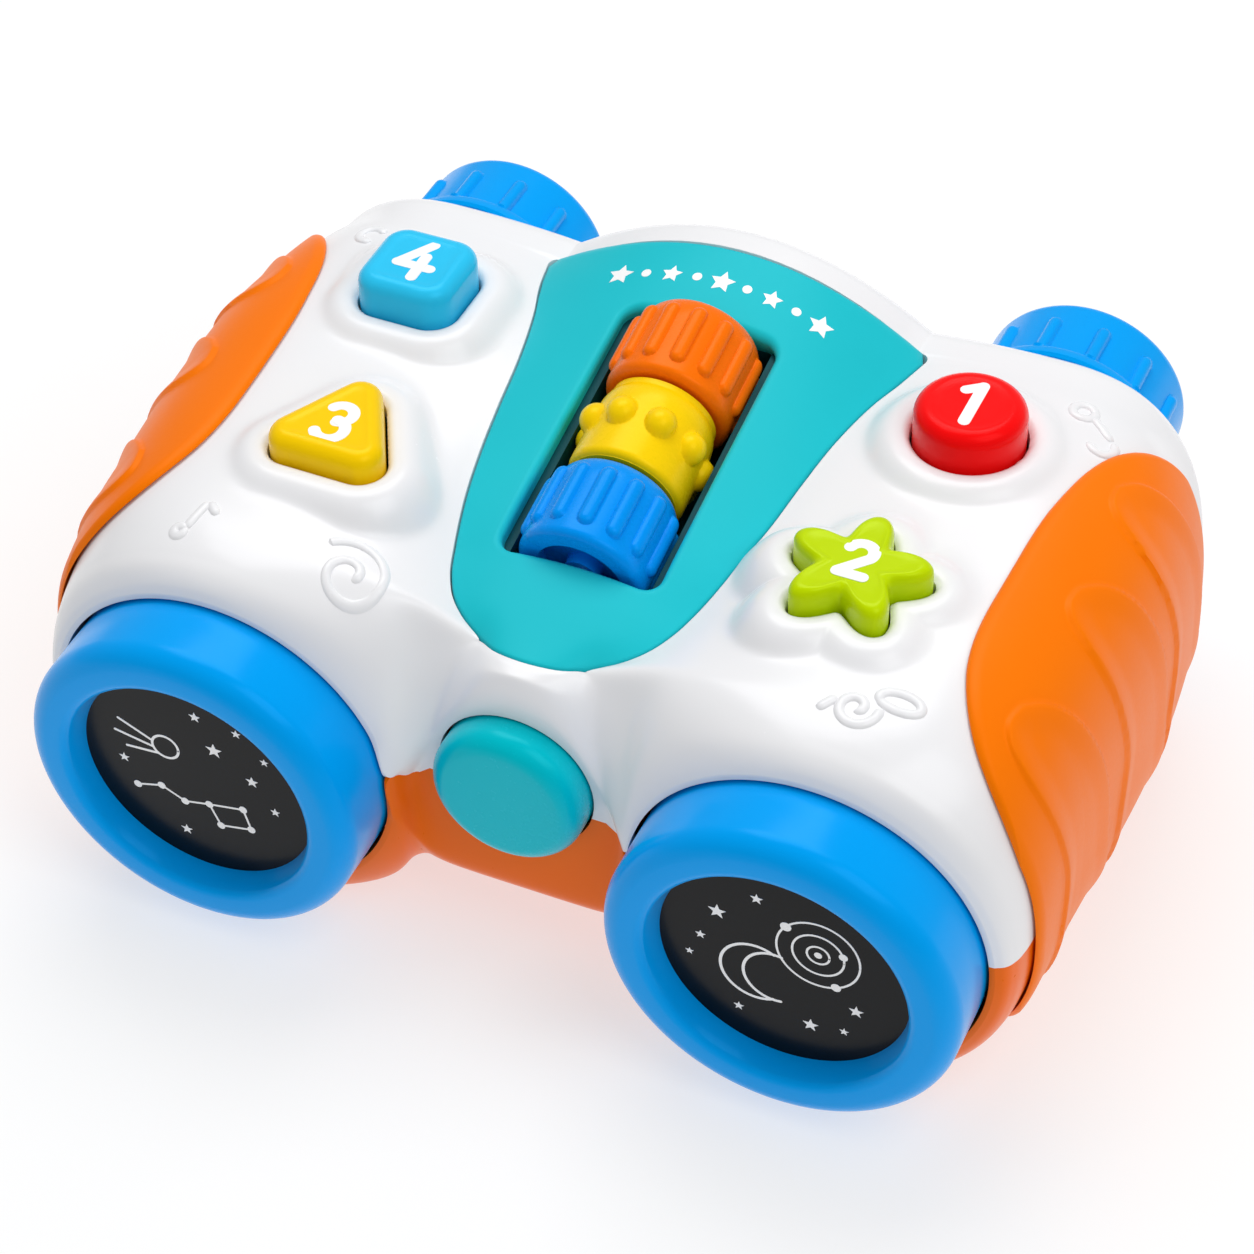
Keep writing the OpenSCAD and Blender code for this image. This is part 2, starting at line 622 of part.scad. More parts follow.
// Lower shell with its battery opening, speaker slots, switch slot and screw towers
module slot(len, r) hull() for (y = [-1, 1]) translate([0, y * (len / 2 - r), 0])
    cylinder(shell_wall + 2 * cut, r, r, $fn = 16);
module lower_shell() color("darkorange") placed() {
    difference() {
        union() {
            shell_wall_form(-1);
            for (x = [-1, 1], p = case_spots) translate([x * p[0], p[1], floor_z(p[0]) + shell_wall / 2])
                cylinder(seam_rise - floor_z(p[0]) - shell_wall / 2, boss_r, boss_r, $fn = 24);
            translate([objective_pitch / 2, speaker_y, shell_wall / 2 - axis_h]) difference() {
                cylinder(shell_wall / 2 + speaker_lift - lens_gap, speaker_r, speaker_r);
                cylinder(shell_wall + speaker_lift, speaker_r - speaker_rim_t, speaker_r - speaker_rim_t);
            }
            for (x = [-1, 1], y = [-1, 1])
                translate([x * (front_board_w / 2 - guide_w), front_board_y + board_t / 2 +
                    y * (board_t / 2 + seat_fit
                    + guide_t / 2), arch_h - axis_h + shell_wall / 2])
                    block([guide_w, guide_t, guide_h], 0);
        }
        front_button_bore();
        translate([0, tray_mid_y, arch_h - axis_h])
            block([tray_in_w, tray_in_len, shell_wall + 2 * cut], -cut);
        for (k = [-(slot_count - 1) / 2 : (slot_count - 1) / 2])
            translate([objective_pitch / 2 + k * slot_step, speaker_y, -axis_h - cut])
                slot(2 * sqrt(pow(slot_field_r, 2) - pow(k * slot_step, 2)), slot_r);
        translate([0, switch_y, arch_h - axis_h])
            block([knob_w + 2 * (switch_travel + slide_fit), knob_d + 2 * slide_fit, shell_wall +
                2 * cut], -cut);
        for (x = [-1, 1], p = case_spots) translate([x * p[0], p[1], floor_z(p[0]) - shell_wall - cut]) {
            cylinder(axis_h + seam_rise + shell_wall + 2 * cut, screw_r + seat_fit, screw_r + seat_fit,
                $fn = 16);
            cylinder(screw_sink + shell_wall + cut, screw_head_r + seat_fit, screw_head_r + seat_fit,
                $fn = 20);
        }
    }
}

// Soft side grips that follow the barrels' skin
grip_rows = 16;
grip_cols = 16;
grip_power = 3;
grip_end_share = 0.985;
function grip_point(a, b, off) = let (
    s = -grip_end_share * cos(180 * a),
    y = lip_y + grip_set + grip_len * (1 + s) / 2,
    reach = pow(1 - pow(abs(s), grip_power), 1 / grip_power),
    t = (b > 0 ? grip_up_deg : grip_down_deg) * b * reach,
    n = b > 0 ? barrel_pow(y) : 2 + (barrel_pow(y) - 2) * low_square_share,
    w = barrel_w(y) + off,
    h = (b > 0 ? barrel_top(y) : axis_h * low_depth_share) + off)
    [barrel_x(y) + w * pow(cos(t), 2 / n), y, (b > 0 ? h : -h) * pow(abs(sin(t)), 2 / n)];
module grip(x) color("orange") placed() mirror([x > 0 ? 0 : 1, 0, 0]) {
    sheet = function (off) [for (r = [0 : grip_rows])
        [for (c = [0 : grip_cols]) grip_point(r / grip_rows, 2 * c / grip_cols - 1, off)]];
    sheet_wall(sheet(grip_gap), sheet(grip_gap + grip_t));
}
module left_grip() grip(-1);
module right_grip() grip(1);

// Centre panel that lies in its seat in the upper shell
panel_lift = 0.1;
module centre_panel() color("mediumturquoise") placed() difference() {
    cols = 2 * panel_cols;
    sheet = function (drop) [for (row = panel_shares)
        let (y = lerp(panel_y0 + groove, panel_y1 - groove, row[0]))
        [for (c = [0 : cols]) let (x = (2 * c / cols - 1) * (panel_w(y) - groove)) [x, y,
            panel_z(x, y) - drop]]];
    sheet_wall(sheet(0), sheet(panel_t - panel_lift));
    tilted() translate([0, 0, -axle_drop - panel_t]) linear_extrude(2 * (axle_drop + panel_t)) union() {
        square([window_w - 2 * window_r, window_len], center = true);
        square([window_w, window_len - 2 * window_r], center = true);
        for (x = [-1, 1], y = [-1, 1])
            translate([x * (window_w / 2 - window_r), y * (window_len / 2 - window_r)]) circle(window_r);
    }
}

// Roller cradle, axle and rollers, drawn in the panel's slope
module roller_cradle() color("dimgray") placed() tilted() difference() {
    union() {
        block([cradle_w, cradle_len, cradle_depth - cradle_rim_drop], -cradle_depth);
        block([cradle_w + 2 * cradle_flange_w, cradle_len + 2 * cradle_flange_w, cradle_wall],
            -cradle_flange_drop - cradle_wall);
        for (p = cradle_spots) translate([p[0], p[1], -cradle_flange_drop - cradle_wall])
            cylinder(cradle_wall, ear_r, ear_r);
    }
    for (p = cradle_spots) translate([p[0], p[1], -cradle_flange_drop - cradle_wall - cut])
        cylinder(cradle_wall + 2 * cut, screw_r + seat_fit, screw_r + seat_fit);
    block([window_w, window_len, cradle_depth], cradle_wall - cradle_depth);
    translate([0, -cradle_len / 2 - cut, -axle_drop]) along_y()
        cylinder(cradle_len + 2 * cut, axle_r + turn_fit, axle_r + turn_fit);
}
module roller_axle() color("silver") placed() tilted() translate([0, -cradle_len / 2, -axle_drop])
    along_y() cylinder(cradle_len, axle_r, axle_r);
module roller_blank(body_r) rotate_extrude() difference() {
    union() {
        translate([0, -roller_len / 2]) square([body_r, roller_len]);
        for (s = [-1, 1]) translate([0, s * (roller_len - rim_w) / 2 - rim_w / 2])
            square([roller_r - rim_step, rim_w]);
    }
    translate([-cut, -roller_len]) square([cut + axle_r + turn_fit, 2 * roller_len]);
}
module roller_at(k) placed() tilted() translate([0, k * (roller_len + roller_gap), -axle_drop])
    along_y() children();
module ribbed_roller(k) roller_at(k) union() {
    roller_blank(roller_r - barrel_step);
    for (a = [0 : 360 / roller_ribs : 359]) rotate(a) translate([roller_r - roller_rib_r, 0,
        -roller_len / 2 + rim_w / 2])
        cylinder(roller_len - rim_w, roller_rib_r, roller_rib_r);
}
module roller_rear() color("darkorange") ribbed_roller(1);
module roller_front() color("dodgerblue") ribbed_roller(-1);
module roller_middle() color("gold") roller_at(0) union() {
    roller_blank(roller_r - barrel_step);
    for (s = [-1, 1], a = [0 : 360 / roller_bumps : 359]) rotate(a + s * 90 / roller_bumps)
        translate([roller_r - bump_r, 0, s * roller_len * bump_place_share]) sphere(bump_r);
}

// Button caps with a flange under the shell and a stem over the switch
module button(b, tint) color(tint) placed() translate([b[1], b[2], 0]) {
    low = flange_z(b);
    translate([0, 0, low]) linear_extrude(button_top_z(b) - edge_h - low) button_outline(b[0], 0);
    translate([0, 0, button_top_z(b) - edge_h]) linear_extrude(edge_h, scale = edge_in_share)
        button_outline(b[0], 0);
    translate([0, 0, low]) cylinder(flange_t, flange_r, flange_r);
    translate([0, 0, stem_z]) cylinder(low + flange_t - stem_z, stem_r, stem_r);
}
module round_button() button(buttons[0], "red");
module star_button() button(buttons[1], "yellowgreen");
module triangle_button() button(buttons[2], "gold");
module square_button() button(buttons[3], "deepskyblue");

// Return springs, drawn as the sleeves that their coils fill
module coil_sleeve(h) difference() {
    cylinder(h, coil_r, coil_r);
    translate([0, 0, -cut]) cylinder(h + 2 * cut, coil_r - wire_t, coil_r - wire_t);
}
module button_spring(b) color("silver") placed() translate([b[1], b[2], board_z + board_t + seat_fit])
    coil_sleeve(flange_z(b) - board_z - board_t - 2 * seat_fit);
module round_button_spring() button_spring(buttons[0]);
module star_button_spring() button_spring(buttons[1]);
module triangle_button_spring() button_spring(buttons[2]);
module square_button_spring() button_spring(buttons[3]);

// Circuit boards and their switches
module tact_switch() {
    block([switch_w, switch_w, switch_h], 0);
    translate([0, 0, switch_h]) cylinder(plunger_h, plunger_r, plunger_r);
}
module side_board(x) color("seagreen") placed() difference() {
    translate([x * board_x, board_y, board_z]) block([board_w, board_len, board_t], 0);
    for (p = board_spots) translate([x * p[0], p[1], board_z - cut])
        cylinder(board_t + 2 * cut, screw_r + seat_fit, screw_r + seat_fit);
}
module left_board() side_board(-1);
module right_board() side_board(1);
module button_switches() color("dimgray") placed()
    for (b = buttons) translate([b[1], b[2], board_z + board_t]) tact_switch();
module front_board() color("seagreen") placed() translate([0, front_board_y + board_t / 2,
    arch_h - axis_h + shell_wall + seat_fit])
    block([front_board_w, board_t, front_board_h], 0);
module front_switch() color("dimgray") placed() translate([0, front_board_y, front_button_rise])
    rotate([90, 0, 0]) tact_switch();

// Front button, turned about its own axis
module front_button() color("darkturquoise") placed() translate([0, bridge_y - front_button_up,
    front_button_rise])
    along_y() union() {
        rotate_extrude() union() {
            translate([0, front_edge_r]) square([front_button_r, front_flange_y - bridge_y +
                front_button_up - front_edge_r]);
            square([front_button_r - front_edge_r, 2 * front_edge_r]);
            intersection() {
                translate([front_button_r - front_edge_r, front_edge_r]) circle(front_edge_r);
                square([front_button_r, front_edge_r + cut / 2]);
            }
        }
        translate([0, 0, front_flange_y - bridge_y + front_button_up]) cylinder(flange_t,
            front_flange_r, front_flange_r);
        translate([0, 0, front_flange_y - bridge_y + front_button_up])
            cylinder(front_stem_y - front_flange_y, stem_r, stem_r);
    }
module front_button_spring() color("silver") placed()
    translate([0, front_flange_y + flange_t + seat_fit, front_button_rise]) along_y()
        coil_sleeve(front_board_y - front_flange_y - flange_t - 2 * seat_fit);

// Objective rings, lenses and the lamps behind them
function arc(cx, cy, r, a0, a1) = [for (k = [0 : 8]) let (a = lerp(a0, a1, k / 8)) [cx + r * cos(a),
    cy + r * sin(a)]];
module at_objective(x) placed() translate([x * objective_pitch / 2, 0, 0]) along_y() children();
module objective_ring(x) color("dodgerblue") at_objective(x) difference() {
    rotate_extrude() polygon(concat(
        [[lens_show_r, lens_set],
            [lens_show_r + (ring_face_r - lens_show_r) * lip_bevel_share, lens_set * lip_bevel_share]],
        arc(ring_face_r, ring_edge_r, ring_edge_r, -90, 0),
        [[ring_r, ring_tail_y], [ring_flange_r, ring_tail_y], [ring_flange_r, ring_tail_y +
            ring_flange_t],
            [pocket_r, ring_tail_y + ring_flange_t], [pocket_r, lens_set]]));
    // The flange is flat underneath, where it stands on the lower shell's floor
    translate([0, axis_h - shell_wall - seat_fit + ring_r, ring_tail_y])
        block([2 * ring_r, 2 * ring_r, ring_flange_t + 2 * cut], -cut);
}
module objective_ring_left() objective_ring(-1);
module objective_ring_right() objective_ring(1);
module lens(x) color([0.15, 0.15, 0.15]) at_objective(x) translate([0, 0, lens_set + lens_gap])
    cylinder(lens_t, pocket_r - seat_fit, pocket_r - seat_fit);
module lens_left() lens(-1);
module lens_right() lens(1);
module lens_reflector(x) color("white") at_objective(x) translate([0, 0, reflector_y]) difference() {
    cylinder(reflector_len, pocket_r - seat_fit, pocket_r - seat_fit);
    translate([0, 0, -cut]) cylinder(reflector_len + cut - reflector_wall,
        pocket_r - seat_fit - reflector_wall,
        pocket_r - seat_fit - reflector_wall);
    cylinder(reflector_len + cut, led_r + seat_fit, led_r + seat_fit);
}
module lens_reflector_left() lens_reflector(-1);
module lens_reflector_right() lens_reflector(1);
module lens_leds() color("ivory") for (x = [-1, 1]) at_objective(x)
    translate([0, 0, reflector_y + reflector_len - led_len + led_r]) {
        cylinder(led_len - led_r, led_r, led_r);
        sphere(led_r);
    }
module led_boards() color("seagreen") for (x = [-1, 1]) at_objective(x)
    translate([0, 0, reflector_y + reflector_len + lens_gap]) cylinder(board_t, led_board_r, led_board_r);

// Eyepieces, the sleeves that they turn on, their clips and their lenses
module at_eyepiece(x, y) placed() translate([x * eyepiece_pitch / 2, y, eyepiece_rise]) along_y()
    children();
module eyepiece(x) color("dodgerblue") at_eyepiece(x, rear_y + eyepiece_gap) union() {
    rotate_extrude() polygon(concat(
        [[sleeve_r + turn_fit, 0], [base_r, 0], [base_r, base_t - base_t / 3], [body_r, base_t]],
        arc(body_r - eye_edge_r, eyepiece_len - eye_edge_r, eye_edge_r, 0, 90),
        [[cup_r + rim_in, eyepiece_len], [cup_r, eyepiece_len - rim_in], [cup_r, cup_y],
            [sleeve_r + turn_fit, cup_y]]));
    for (a = [0 : 360 / rib_count : 359]) rotate(a) translate([eyepiece_r - eye_rib_r, 0, base_t / 2])
        cylinder(eyepiece_len - base_t / 2 - 2 * eye_edge_r, eye_rib_r, eye_rib_r);
}
module eyepiece_left() eyepiece(-1);
module eyepiece_right() eyepiece(1);
module eyepiece_sleeve(x) color("lightgray") at_eyepiece(x, sleeve_y0) difference() {
    union() {
        cylinder(head_y - sleeve_y0 + head_t / 2, sleeve_r, sleeve_r);
        translate([0, 0, head_y - sleeve_y0]) cylinder(head_t, head_r, head_r);
    }
    translate([0, 0, -cut]) cylinder(head_y - sleeve_y0 + head_t + 2 * cut, sleeve_r - sleeve_wall,
        sleeve_r - sleeve_wall);
}
module eyepiece_sleeve_left() eyepiece_sleeve(-1);
module eyepiece_sleeve_right() eyepiece_sleeve(1);
module eyepiece_clips() color("silver") for (x = [-1, 1]) at_eyepiece(x,
    rear_y - shell_wall - seat_fit - clip_t)
    difference() {
        cylinder(clip_t, sleeve_r + clip_w, sleeve_r + clip_w);
        translate([0, 0, -cut]) cylinder(clip_t + 2 * cut, sleeve_r + lens_gap, sleeve_r + lens_gap);
    }
module eyepiece_lens(x) color([0.2, 0.25, 0.3]) at_eyepiece(x, head_y + head_t + lens_gap)
    cylinder(eye_lens_t, head_r, head_r);
module eyepiece_lens_left() eyepiece_lens(-1);
module eyepiece_lens_right() eyepiece_lens(1);

// Battery tray, cells, contacts, door and its screw
door_screw_y = tray_in_len / 2 - door_screw_in;
module battery_tray() color("darkorange") placed() translate([0, tray_mid_y, 0]) difference() {
    union() {
        difference() {
            block([tray_in_w + 2 * tray_wall, tray_in_len + 2 * tray_wall, tray_z1 +
                tray_wall - tray_z0], tray_z0);
            block([tray_in_w, tray_in_len, tray_z1 - tray_z0 + cut], tray_z0 - cut);
        }
        // Post for the door's screw, between the cells
        translate([0, door_screw_y + tray_wall / 2, 0])
            block([door_post_w, 2 * door_screw_in + tray_wall, door_post_h], tray_z0);
    }
    translate([0, door_screw_y, tray_z0 - cut]) cylinder(door_post_h + 2 * cut, pilot_r, pilot_r);
}
module batteries() color("dimgray") placed() for (x = [-1, 1]) translate([x * cell_x, tray_mid_y, cell_z])
    rotate([0, 0, x > 0 ? 0 : 180]) translate([0, -cell_len / 2, 0]) along_y() {
        cylinder(cell_len - tip_h, cell_r, cell_r);
        cylinder(cell_len, tip_r, tip_r);
    }
module battery_contacts() color("silver") placed() for (x = [-1, 1], y = [-1, 1])
    translate([x * cell_x, tray_mid_y + y * (tray_in_len / 2 - contact_t / 2 - lens_gap), cell_z])
        block([contact_w, contact_t, contact_w], -contact_w / 2);
module battery_door() color("darkorange") placed() translate([0, tray_mid_y, 0]) difference() {
    block([tray_in_w - 2 * seat_fit, tray_in_len - 2 * seat_fit, door_t], arch_h - axis_h);
    translate([0, door_screw_y, arch_h - axis_h - cut])
        cylinder(door_t + 2 * cut, screw_r + seat_fit, screw_r + seat_fit);
}
module battery_door_screw() color("silver") placed()
    translate([0, tray_mid_y + door_screw_y, arch_h - axis_h - door_head_t - lens_gap]) {
        cylinder(door_head_t, screw_head_r, screw_head_r);
        cylinder(door_head_t + door_screw_len, screw_r, screw_r);
    }

// Loudspeaker in the right barrel's floor
module at_speaker() placed() translate([objective_pitch / 2, speaker_y, shell_wall - axis_h +
    speaker_lift]) children();
module speaker() color("dimgray") at_speaker() rotate_extrude() polygon([
    [speaker_r - 2 * speaker_rim_t, 0], [speaker_r, 0], [speaker_r, speaker_rim_t],
        [speaker_r - speaker_rim_t, speaker_rim_t],
    [magnet_r, basket_h], [magnet_r, basket_h + magnet_h], [0, basket_h + magnet_h],
    [0, basket_h - basket_wall], [magnet_r - basket_wall, basket_h - basket_wall],
        [speaker_r - 2 * speaker_rim_t, speaker_rim_t - basket_wall]]);
module speaker_cone() color("black") at_speaker() rotate_extrude() polygon([
    [0, basket_h / 2], [magnet_r / 2, basket_h / 2], [speaker_r - 2 * speaker_rim_t - seat_fit, 0],
    [speaker_r - 2 * speaker_rim_t - seat_fit, cone_t], [magnet_r / 2, basket_h / 2 + cone_t],
        [0, basket_h / 2 + cone_t]]);

// Power switch in the arch behind the batteries
module power_switch_body() color("dimgray") placed() translate([0, switch_y, arch_h - axis_h +
    shell_wall + lens_gap])
    difference() {
        block([switch_case_w, switch_case_d, switch_case_h], 0);
        block([knob_w + 2 * (switch_travel + slide_fit), knob_d + 2 * slide_fit, switch_slot_h + cut],
            -cut);
    }
module power_switch_knob() color("black") placed() translate([0, switch_y, arch_h - axis_h - knob_up])
    block([knob_w, knob_d, knob_up + shell_wall + switch_slot_h - slide_fit], 0);

// Screws, each group one node
module screw(head_t, len) {
    cylinder(head_t, screw_head_r, screw_head_r);
    cylinder(head_t + len, screw_r, screw_r);
}
module case_screws() color("silver") placed() for (x = [-1, 1], p = case_spots)
    translate([x * p[0], p[1], floor_z(p[0]) + screw_sink - screw_head_t - lens_gap])
        screw(screw_head_t, seam_rise + screw_bite - seat_fit - floor_z(p[0]) - screw_sink);
module board_screws() color("silver") placed() for (x = [-1, 1], p = board_spots)
    translate([x * p[0], p[1], board_z - board_head_t - lens_gap])
        screw(board_head_t, board_t + board_screw_bite - seat_fit);
module cradle_screws() color("silver") placed() tilted() for (p = cradle_spots)
    translate([p[0], p[1], -cradle_flange_drop - cradle_wall - board_head_t - lens_gap])
        screw(board_head_t, cradle_wall + cradle_bite - seat_fit);

upper_shell();
lower_shell();
left_grip();
right_grip();
centre_panel();
roller_cradle();
roller_axle();
roller_rear();
roller_middle();
roller_front();
round_button();
star_button();
triangle_button();
square_button();
front_button();
round_button_spring();
star_button_spring();
triangle_button_spring();
square_button_spring();
front_button_spring();
left_board();
right_board();
front_board();
button_switches();
front_switch();
objective_ring_left();
objective_ring_right();
lens_left();
lens_right();
lens_reflector_left();
lens_reflector_right();
lens_leds();
led_boards();
eyepiece_left();
eyepiece_right();
eyepiece_sleeve_left();
eyepiece_sleeve_right();
eyepiece_clips();
eyepiece_lens_left();
eyepiece_lens_right();
battery_tray();
batteries();
battery_contacts();
battery_door();
battery_door_screw();
speaker();
speaker_cone();
power_switch_body();
power_switch_knob();
case_screws();
board_screws();
cradle_screws();
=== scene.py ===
import math
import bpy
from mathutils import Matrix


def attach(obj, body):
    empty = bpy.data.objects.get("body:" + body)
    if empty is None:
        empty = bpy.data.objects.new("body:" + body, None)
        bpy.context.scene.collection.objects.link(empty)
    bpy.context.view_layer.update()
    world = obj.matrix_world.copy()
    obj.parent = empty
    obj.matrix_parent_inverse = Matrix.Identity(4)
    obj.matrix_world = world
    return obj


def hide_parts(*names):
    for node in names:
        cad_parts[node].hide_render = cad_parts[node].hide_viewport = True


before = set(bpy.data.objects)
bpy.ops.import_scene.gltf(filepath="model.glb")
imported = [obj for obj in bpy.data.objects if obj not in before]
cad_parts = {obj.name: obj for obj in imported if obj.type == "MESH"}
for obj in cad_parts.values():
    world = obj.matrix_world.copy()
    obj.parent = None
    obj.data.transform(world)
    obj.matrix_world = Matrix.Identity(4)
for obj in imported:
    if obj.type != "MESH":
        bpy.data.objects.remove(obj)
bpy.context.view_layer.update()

from types import SimpleNamespace

import bpy
import numpy as np

# Lower shell: the orange half of the case, moulded with its feet and the arch under the bridge.
# It carries the batteries, the loudspeaker and the power switch, and six screws close the case.
# Sizes are millimetres, counted back from the ring faces and up from the objective axes.
length, axis_h = 138.0, 33.0
lip_y, bridge_y, panel_y0, panel_y1, rear_y = 13.5, 18.0, 26.0, 110.5, 119.5
seam, ring_r, lip_fit, groove, wall_t = 4.0, 30.0, 0.6, 0.25, 2.4
nose_r, rear_r, rear_tuck, crown_front, crown_rear = 6.0, 5.0, 6.0, 31.0, 49.2
arch_z, arch_half_w, bridge_corner = 11.0 - axis_h, 20.0, 3.0
notch_x, notch_w, notch_drop = 16.4, 1.2, 1.7
objective_pitch, eyepiece_pitch, side_swell, top_swell = 104.0, 111.0, 5.0, 9.5
panel_half_w, panel_turn, seat_depth = 35.5, 2.5, 2.0
foot_reach = axis_h * 1.04
orange = (246, 108, 0)


def lerp(a, b, t):
    return a + (b - a) * t


def limit(t):
    return np.clip(t, 0, 1)


def smooth(t):
    t = limit(t)
    return t * t * (3 - 2 * t)


def dome(t):
    """Height of a round of radius 1 at a distance from its middle, 0 past its edge."""
    return np.sqrt(np.maximum(0, 1 - t ** 2))


def cubic(start, end, start_run, end_run, t):
    """A curve from start to end that leaves and arrives along the given runs."""
    rest = 1 - t
    return (start * (1 + 2 * t) * rest ** 2 + start_run * t * rest ** 2
            + end * (3 - 2 * t) * t ** 2 - end_run * rest * t ** 2)


def curve_through(places, values):
    """A smooth line through the given places that never swings past them."""
    at, to = np.array(places, float), np.array(values, float)
    step = np.diff(at)
    slope = np.diff(to) / step
    tangent = np.concatenate([slope[:1], (slope[1:] + slope[:-1]) / 2, slope[-1:]])
    flat = np.concatenate([[False], slope[1:] * slope[:-1] <= 0, [False]])
    tangent[flat] = 0
    steep = 3 * np.minimum(np.abs(np.append(slope, slope[-1])), np.abs(np.append(slope[0], slope)))
    tangent = np.clip(tangent, -steep, steep)

    def value(x):
        x = np.clip(x, at[0], at[-1])
        k = np.clip(np.searchsorted(at, x) - 1, 0, len(step) - 1)
        t = (x - at[k]) / step[k]
        return cubic(to[k], to[k + 1], tangent[k] * step[k], tangent[k + 1] * step[k], t)
    return value


# Place along the shell, share of the side swell, share of the top swell, squareness
barrel_shares = np.array([
    [0, 0.3, 0.16, 2], [0.0075, 0.58, 0.33, 2], [0.024, 0.8, 0.53, 2.1], [0.047, 0.92, 0.66, 2.2],
    [0.08, 0.98, 0.77, 2.35], [0.116, 1, 0.84, 2.55], [0.184, 1, 0.9, 2.9], [0.297, 1, 0.96, 3.2],
    [0.44, 1, 1, 3.4], [0.627, 0.9, 1.08, 3.4], [0.769, 0.56, 1.08, 3.1], [0.863, 0.2, 1.01, 2.9],
    [0.92, -0.1, 0.93, 2.7], [1, -0.2, 0.9, 2.6]])
side_share, top_share, power_share = (curve_through(barrel_shares[:, 0], barrel_shares[:, k])
                                      for k in (1, 2, 3))


def barrel(y):
    """Middle, half width, height and squareness of a barrel's section."""
    s = limit((y - lip_y) / (rear_y - lip_y))
    middle = lerp(objective_pitch, eyepiece_pitch, limit((s - 0.25) / 0.67)) / 2
    return middle, ring_r + side_swell * side_share(s), ring_r + top_swell * top_share(s), power_share(s)


def foot_power(n):
    """Squareness of a barrel's lower half, which is rounder than its top."""
    return 2 + (n - 2) * 0.25


# Place along the panel, share of its half width, share of the rear crown that its edge has
panel_shares = np.array([
    [0, 0.26, 0.585], [0.024, 0.35, 0.59], [0.062, 0.455, 0.605], [0.116, 0.537, 0.62],
    [0.18, 0.592, 0.636], [0.295, 0.666, 0.679], [0.417, 0.723, 0.711], [0.537, 0.763, 0.742],
    [0.666, 0.806, 0.762], [0.807, 0.88, 0.77], [0.886, 0.94, 0.77], [1, 1, 0.758]])
width_share = curve_through(panel_shares[:, 0], panel_shares[:, 1])
edge_share = curve_through(panel_shares[:, 0], panel_shares[:, 2])


def panel(y):
    """Half width, edge height and crown height of the centre panel."""
    s = limit((y - panel_y0) / (panel_y1 - panel_y0))
    turn = panel_turn * (1 - dome(limit((y - panel_y1 + panel_turn) / panel_turn)))
    half_w = panel_half_w * width_share(s) - turn
    return half_w, crown_rear * edge_share(s), lerp(crown_front, crown_rear, s)


def case_rows(front, middle, rear):
    """The rows of both shells: the lip and nose, the panel, and the rear edge and wall."""
    k = np.linspace(0, 5, front)
    share = curve_through(range(6), [0, 0.065, 0.2, 0.4, 0.69, 1])(k)
    turn = np.radians(np.clip(k - 1, 0, 3) * 30)
    start = 1 - nose_r / (crown_front - seam)
    nose = 1 - nose_r * (1 - np.sin(turn)) / (crown_front - seam)
    last = panel_y0 - groove
    y = np.linspace(panel_y0, panel_y1, middle)
    a = np.radians(np.linspace(0, 90, rear))
    flat = np.linspace(panel_y1 + groove, rear_y - rear_r, 6)[:-1]
    full = barrel(rear_y)[2] - seam
    up = 1 - rear_r * (1 - np.cos(a)) / full
    wall = np.linspace(up[-1], 0, 9)[1:]
    back_y = np.concatenate([flat, rear_y - rear_r * (1 - np.sin(a)), np.full(8, rear_y)])
    back_up = np.concatenate([np.ones(5), up, wall])
    tuck = np.concatenate([np.zeros(5), rear_tuck * (1 - np.cos(a)),
                           rear_tuck + groove * np.linspace(0, 1, 8)])
    none, one = np.zeros(middle), np.ones(middle)
    return SimpleNamespace(
        k=np.concatenate([k, 5 + one, np.full(len(back_y), 7)]),
        ys=np.concatenate([lerp(lip_y, last, share), y, back_y]),
        ym=np.concatenate([bridge_y + np.where(k <= 4, nose_r * (1 - np.cos(turn)),
                                               lerp(nose_r, last - bridge_y, k - 4)), y, back_y]),
        up=np.concatenate([np.where(k < 1, k * start, nose), one, back_up]),
        side_up=np.concatenate([np.ones(front), one, back_up]),
        tuck=np.concatenate([np.zeros(front), none, tuck]),
        corner=np.concatenate([curve_through(range(6), [0, 0.18, 0.42, 0.69, 0.92, 1])(k), one, back_up]),
        along=np.concatenate([share, one, np.ones(len(back_y))]),
        seat=np.concatenate([np.zeros(front), one, np.zeros(len(back_y))]))


def through_columns(points, each, before=None, after=None):
    """Smooth lines across the rows through their points, with a few more between each pair."""
    first = points[:, :1] if before is None else before[:, None]
    last = points[:, -1:] if after is None else after[:, None]
    p = np.concatenate([first, points, last], axis=1)
    gap = np.maximum(np.linalg.norm(np.diff(p, axis=1), axis=2, keepdims=True), 1e-6)
    run = np.diff(p, axis=1) / gap
    tangent = (run[:, 1:] * gap[:, :-1] + run[:, :-1] * gap[:, 1:]) / (gap[:, 1:] + gap[:, :-1])
    made = []
    for k in range(points.shape[1] - 1):
        t = np.linspace(0, 1, each, endpoint=False)[None, :, None]
        d = gap[:, k + 1:k + 2]
        a, b = p[:, k + 1:k + 2], p[:, k + 2:k + 3]
        made.append(cubic(a, b, tangent[:, k:k + 1] * d, tangent[:, k + 1:k + 2] * d, t))
    return np.concatenate(made, axis=1)


def superellipse(u, w, h, n):
    """Height of a squared-off half ellipse at a distance from its middle."""
    return h * np.maximum(0, 1 - np.minimum(1, np.abs(u) / w) ** n) ** (1 / n)


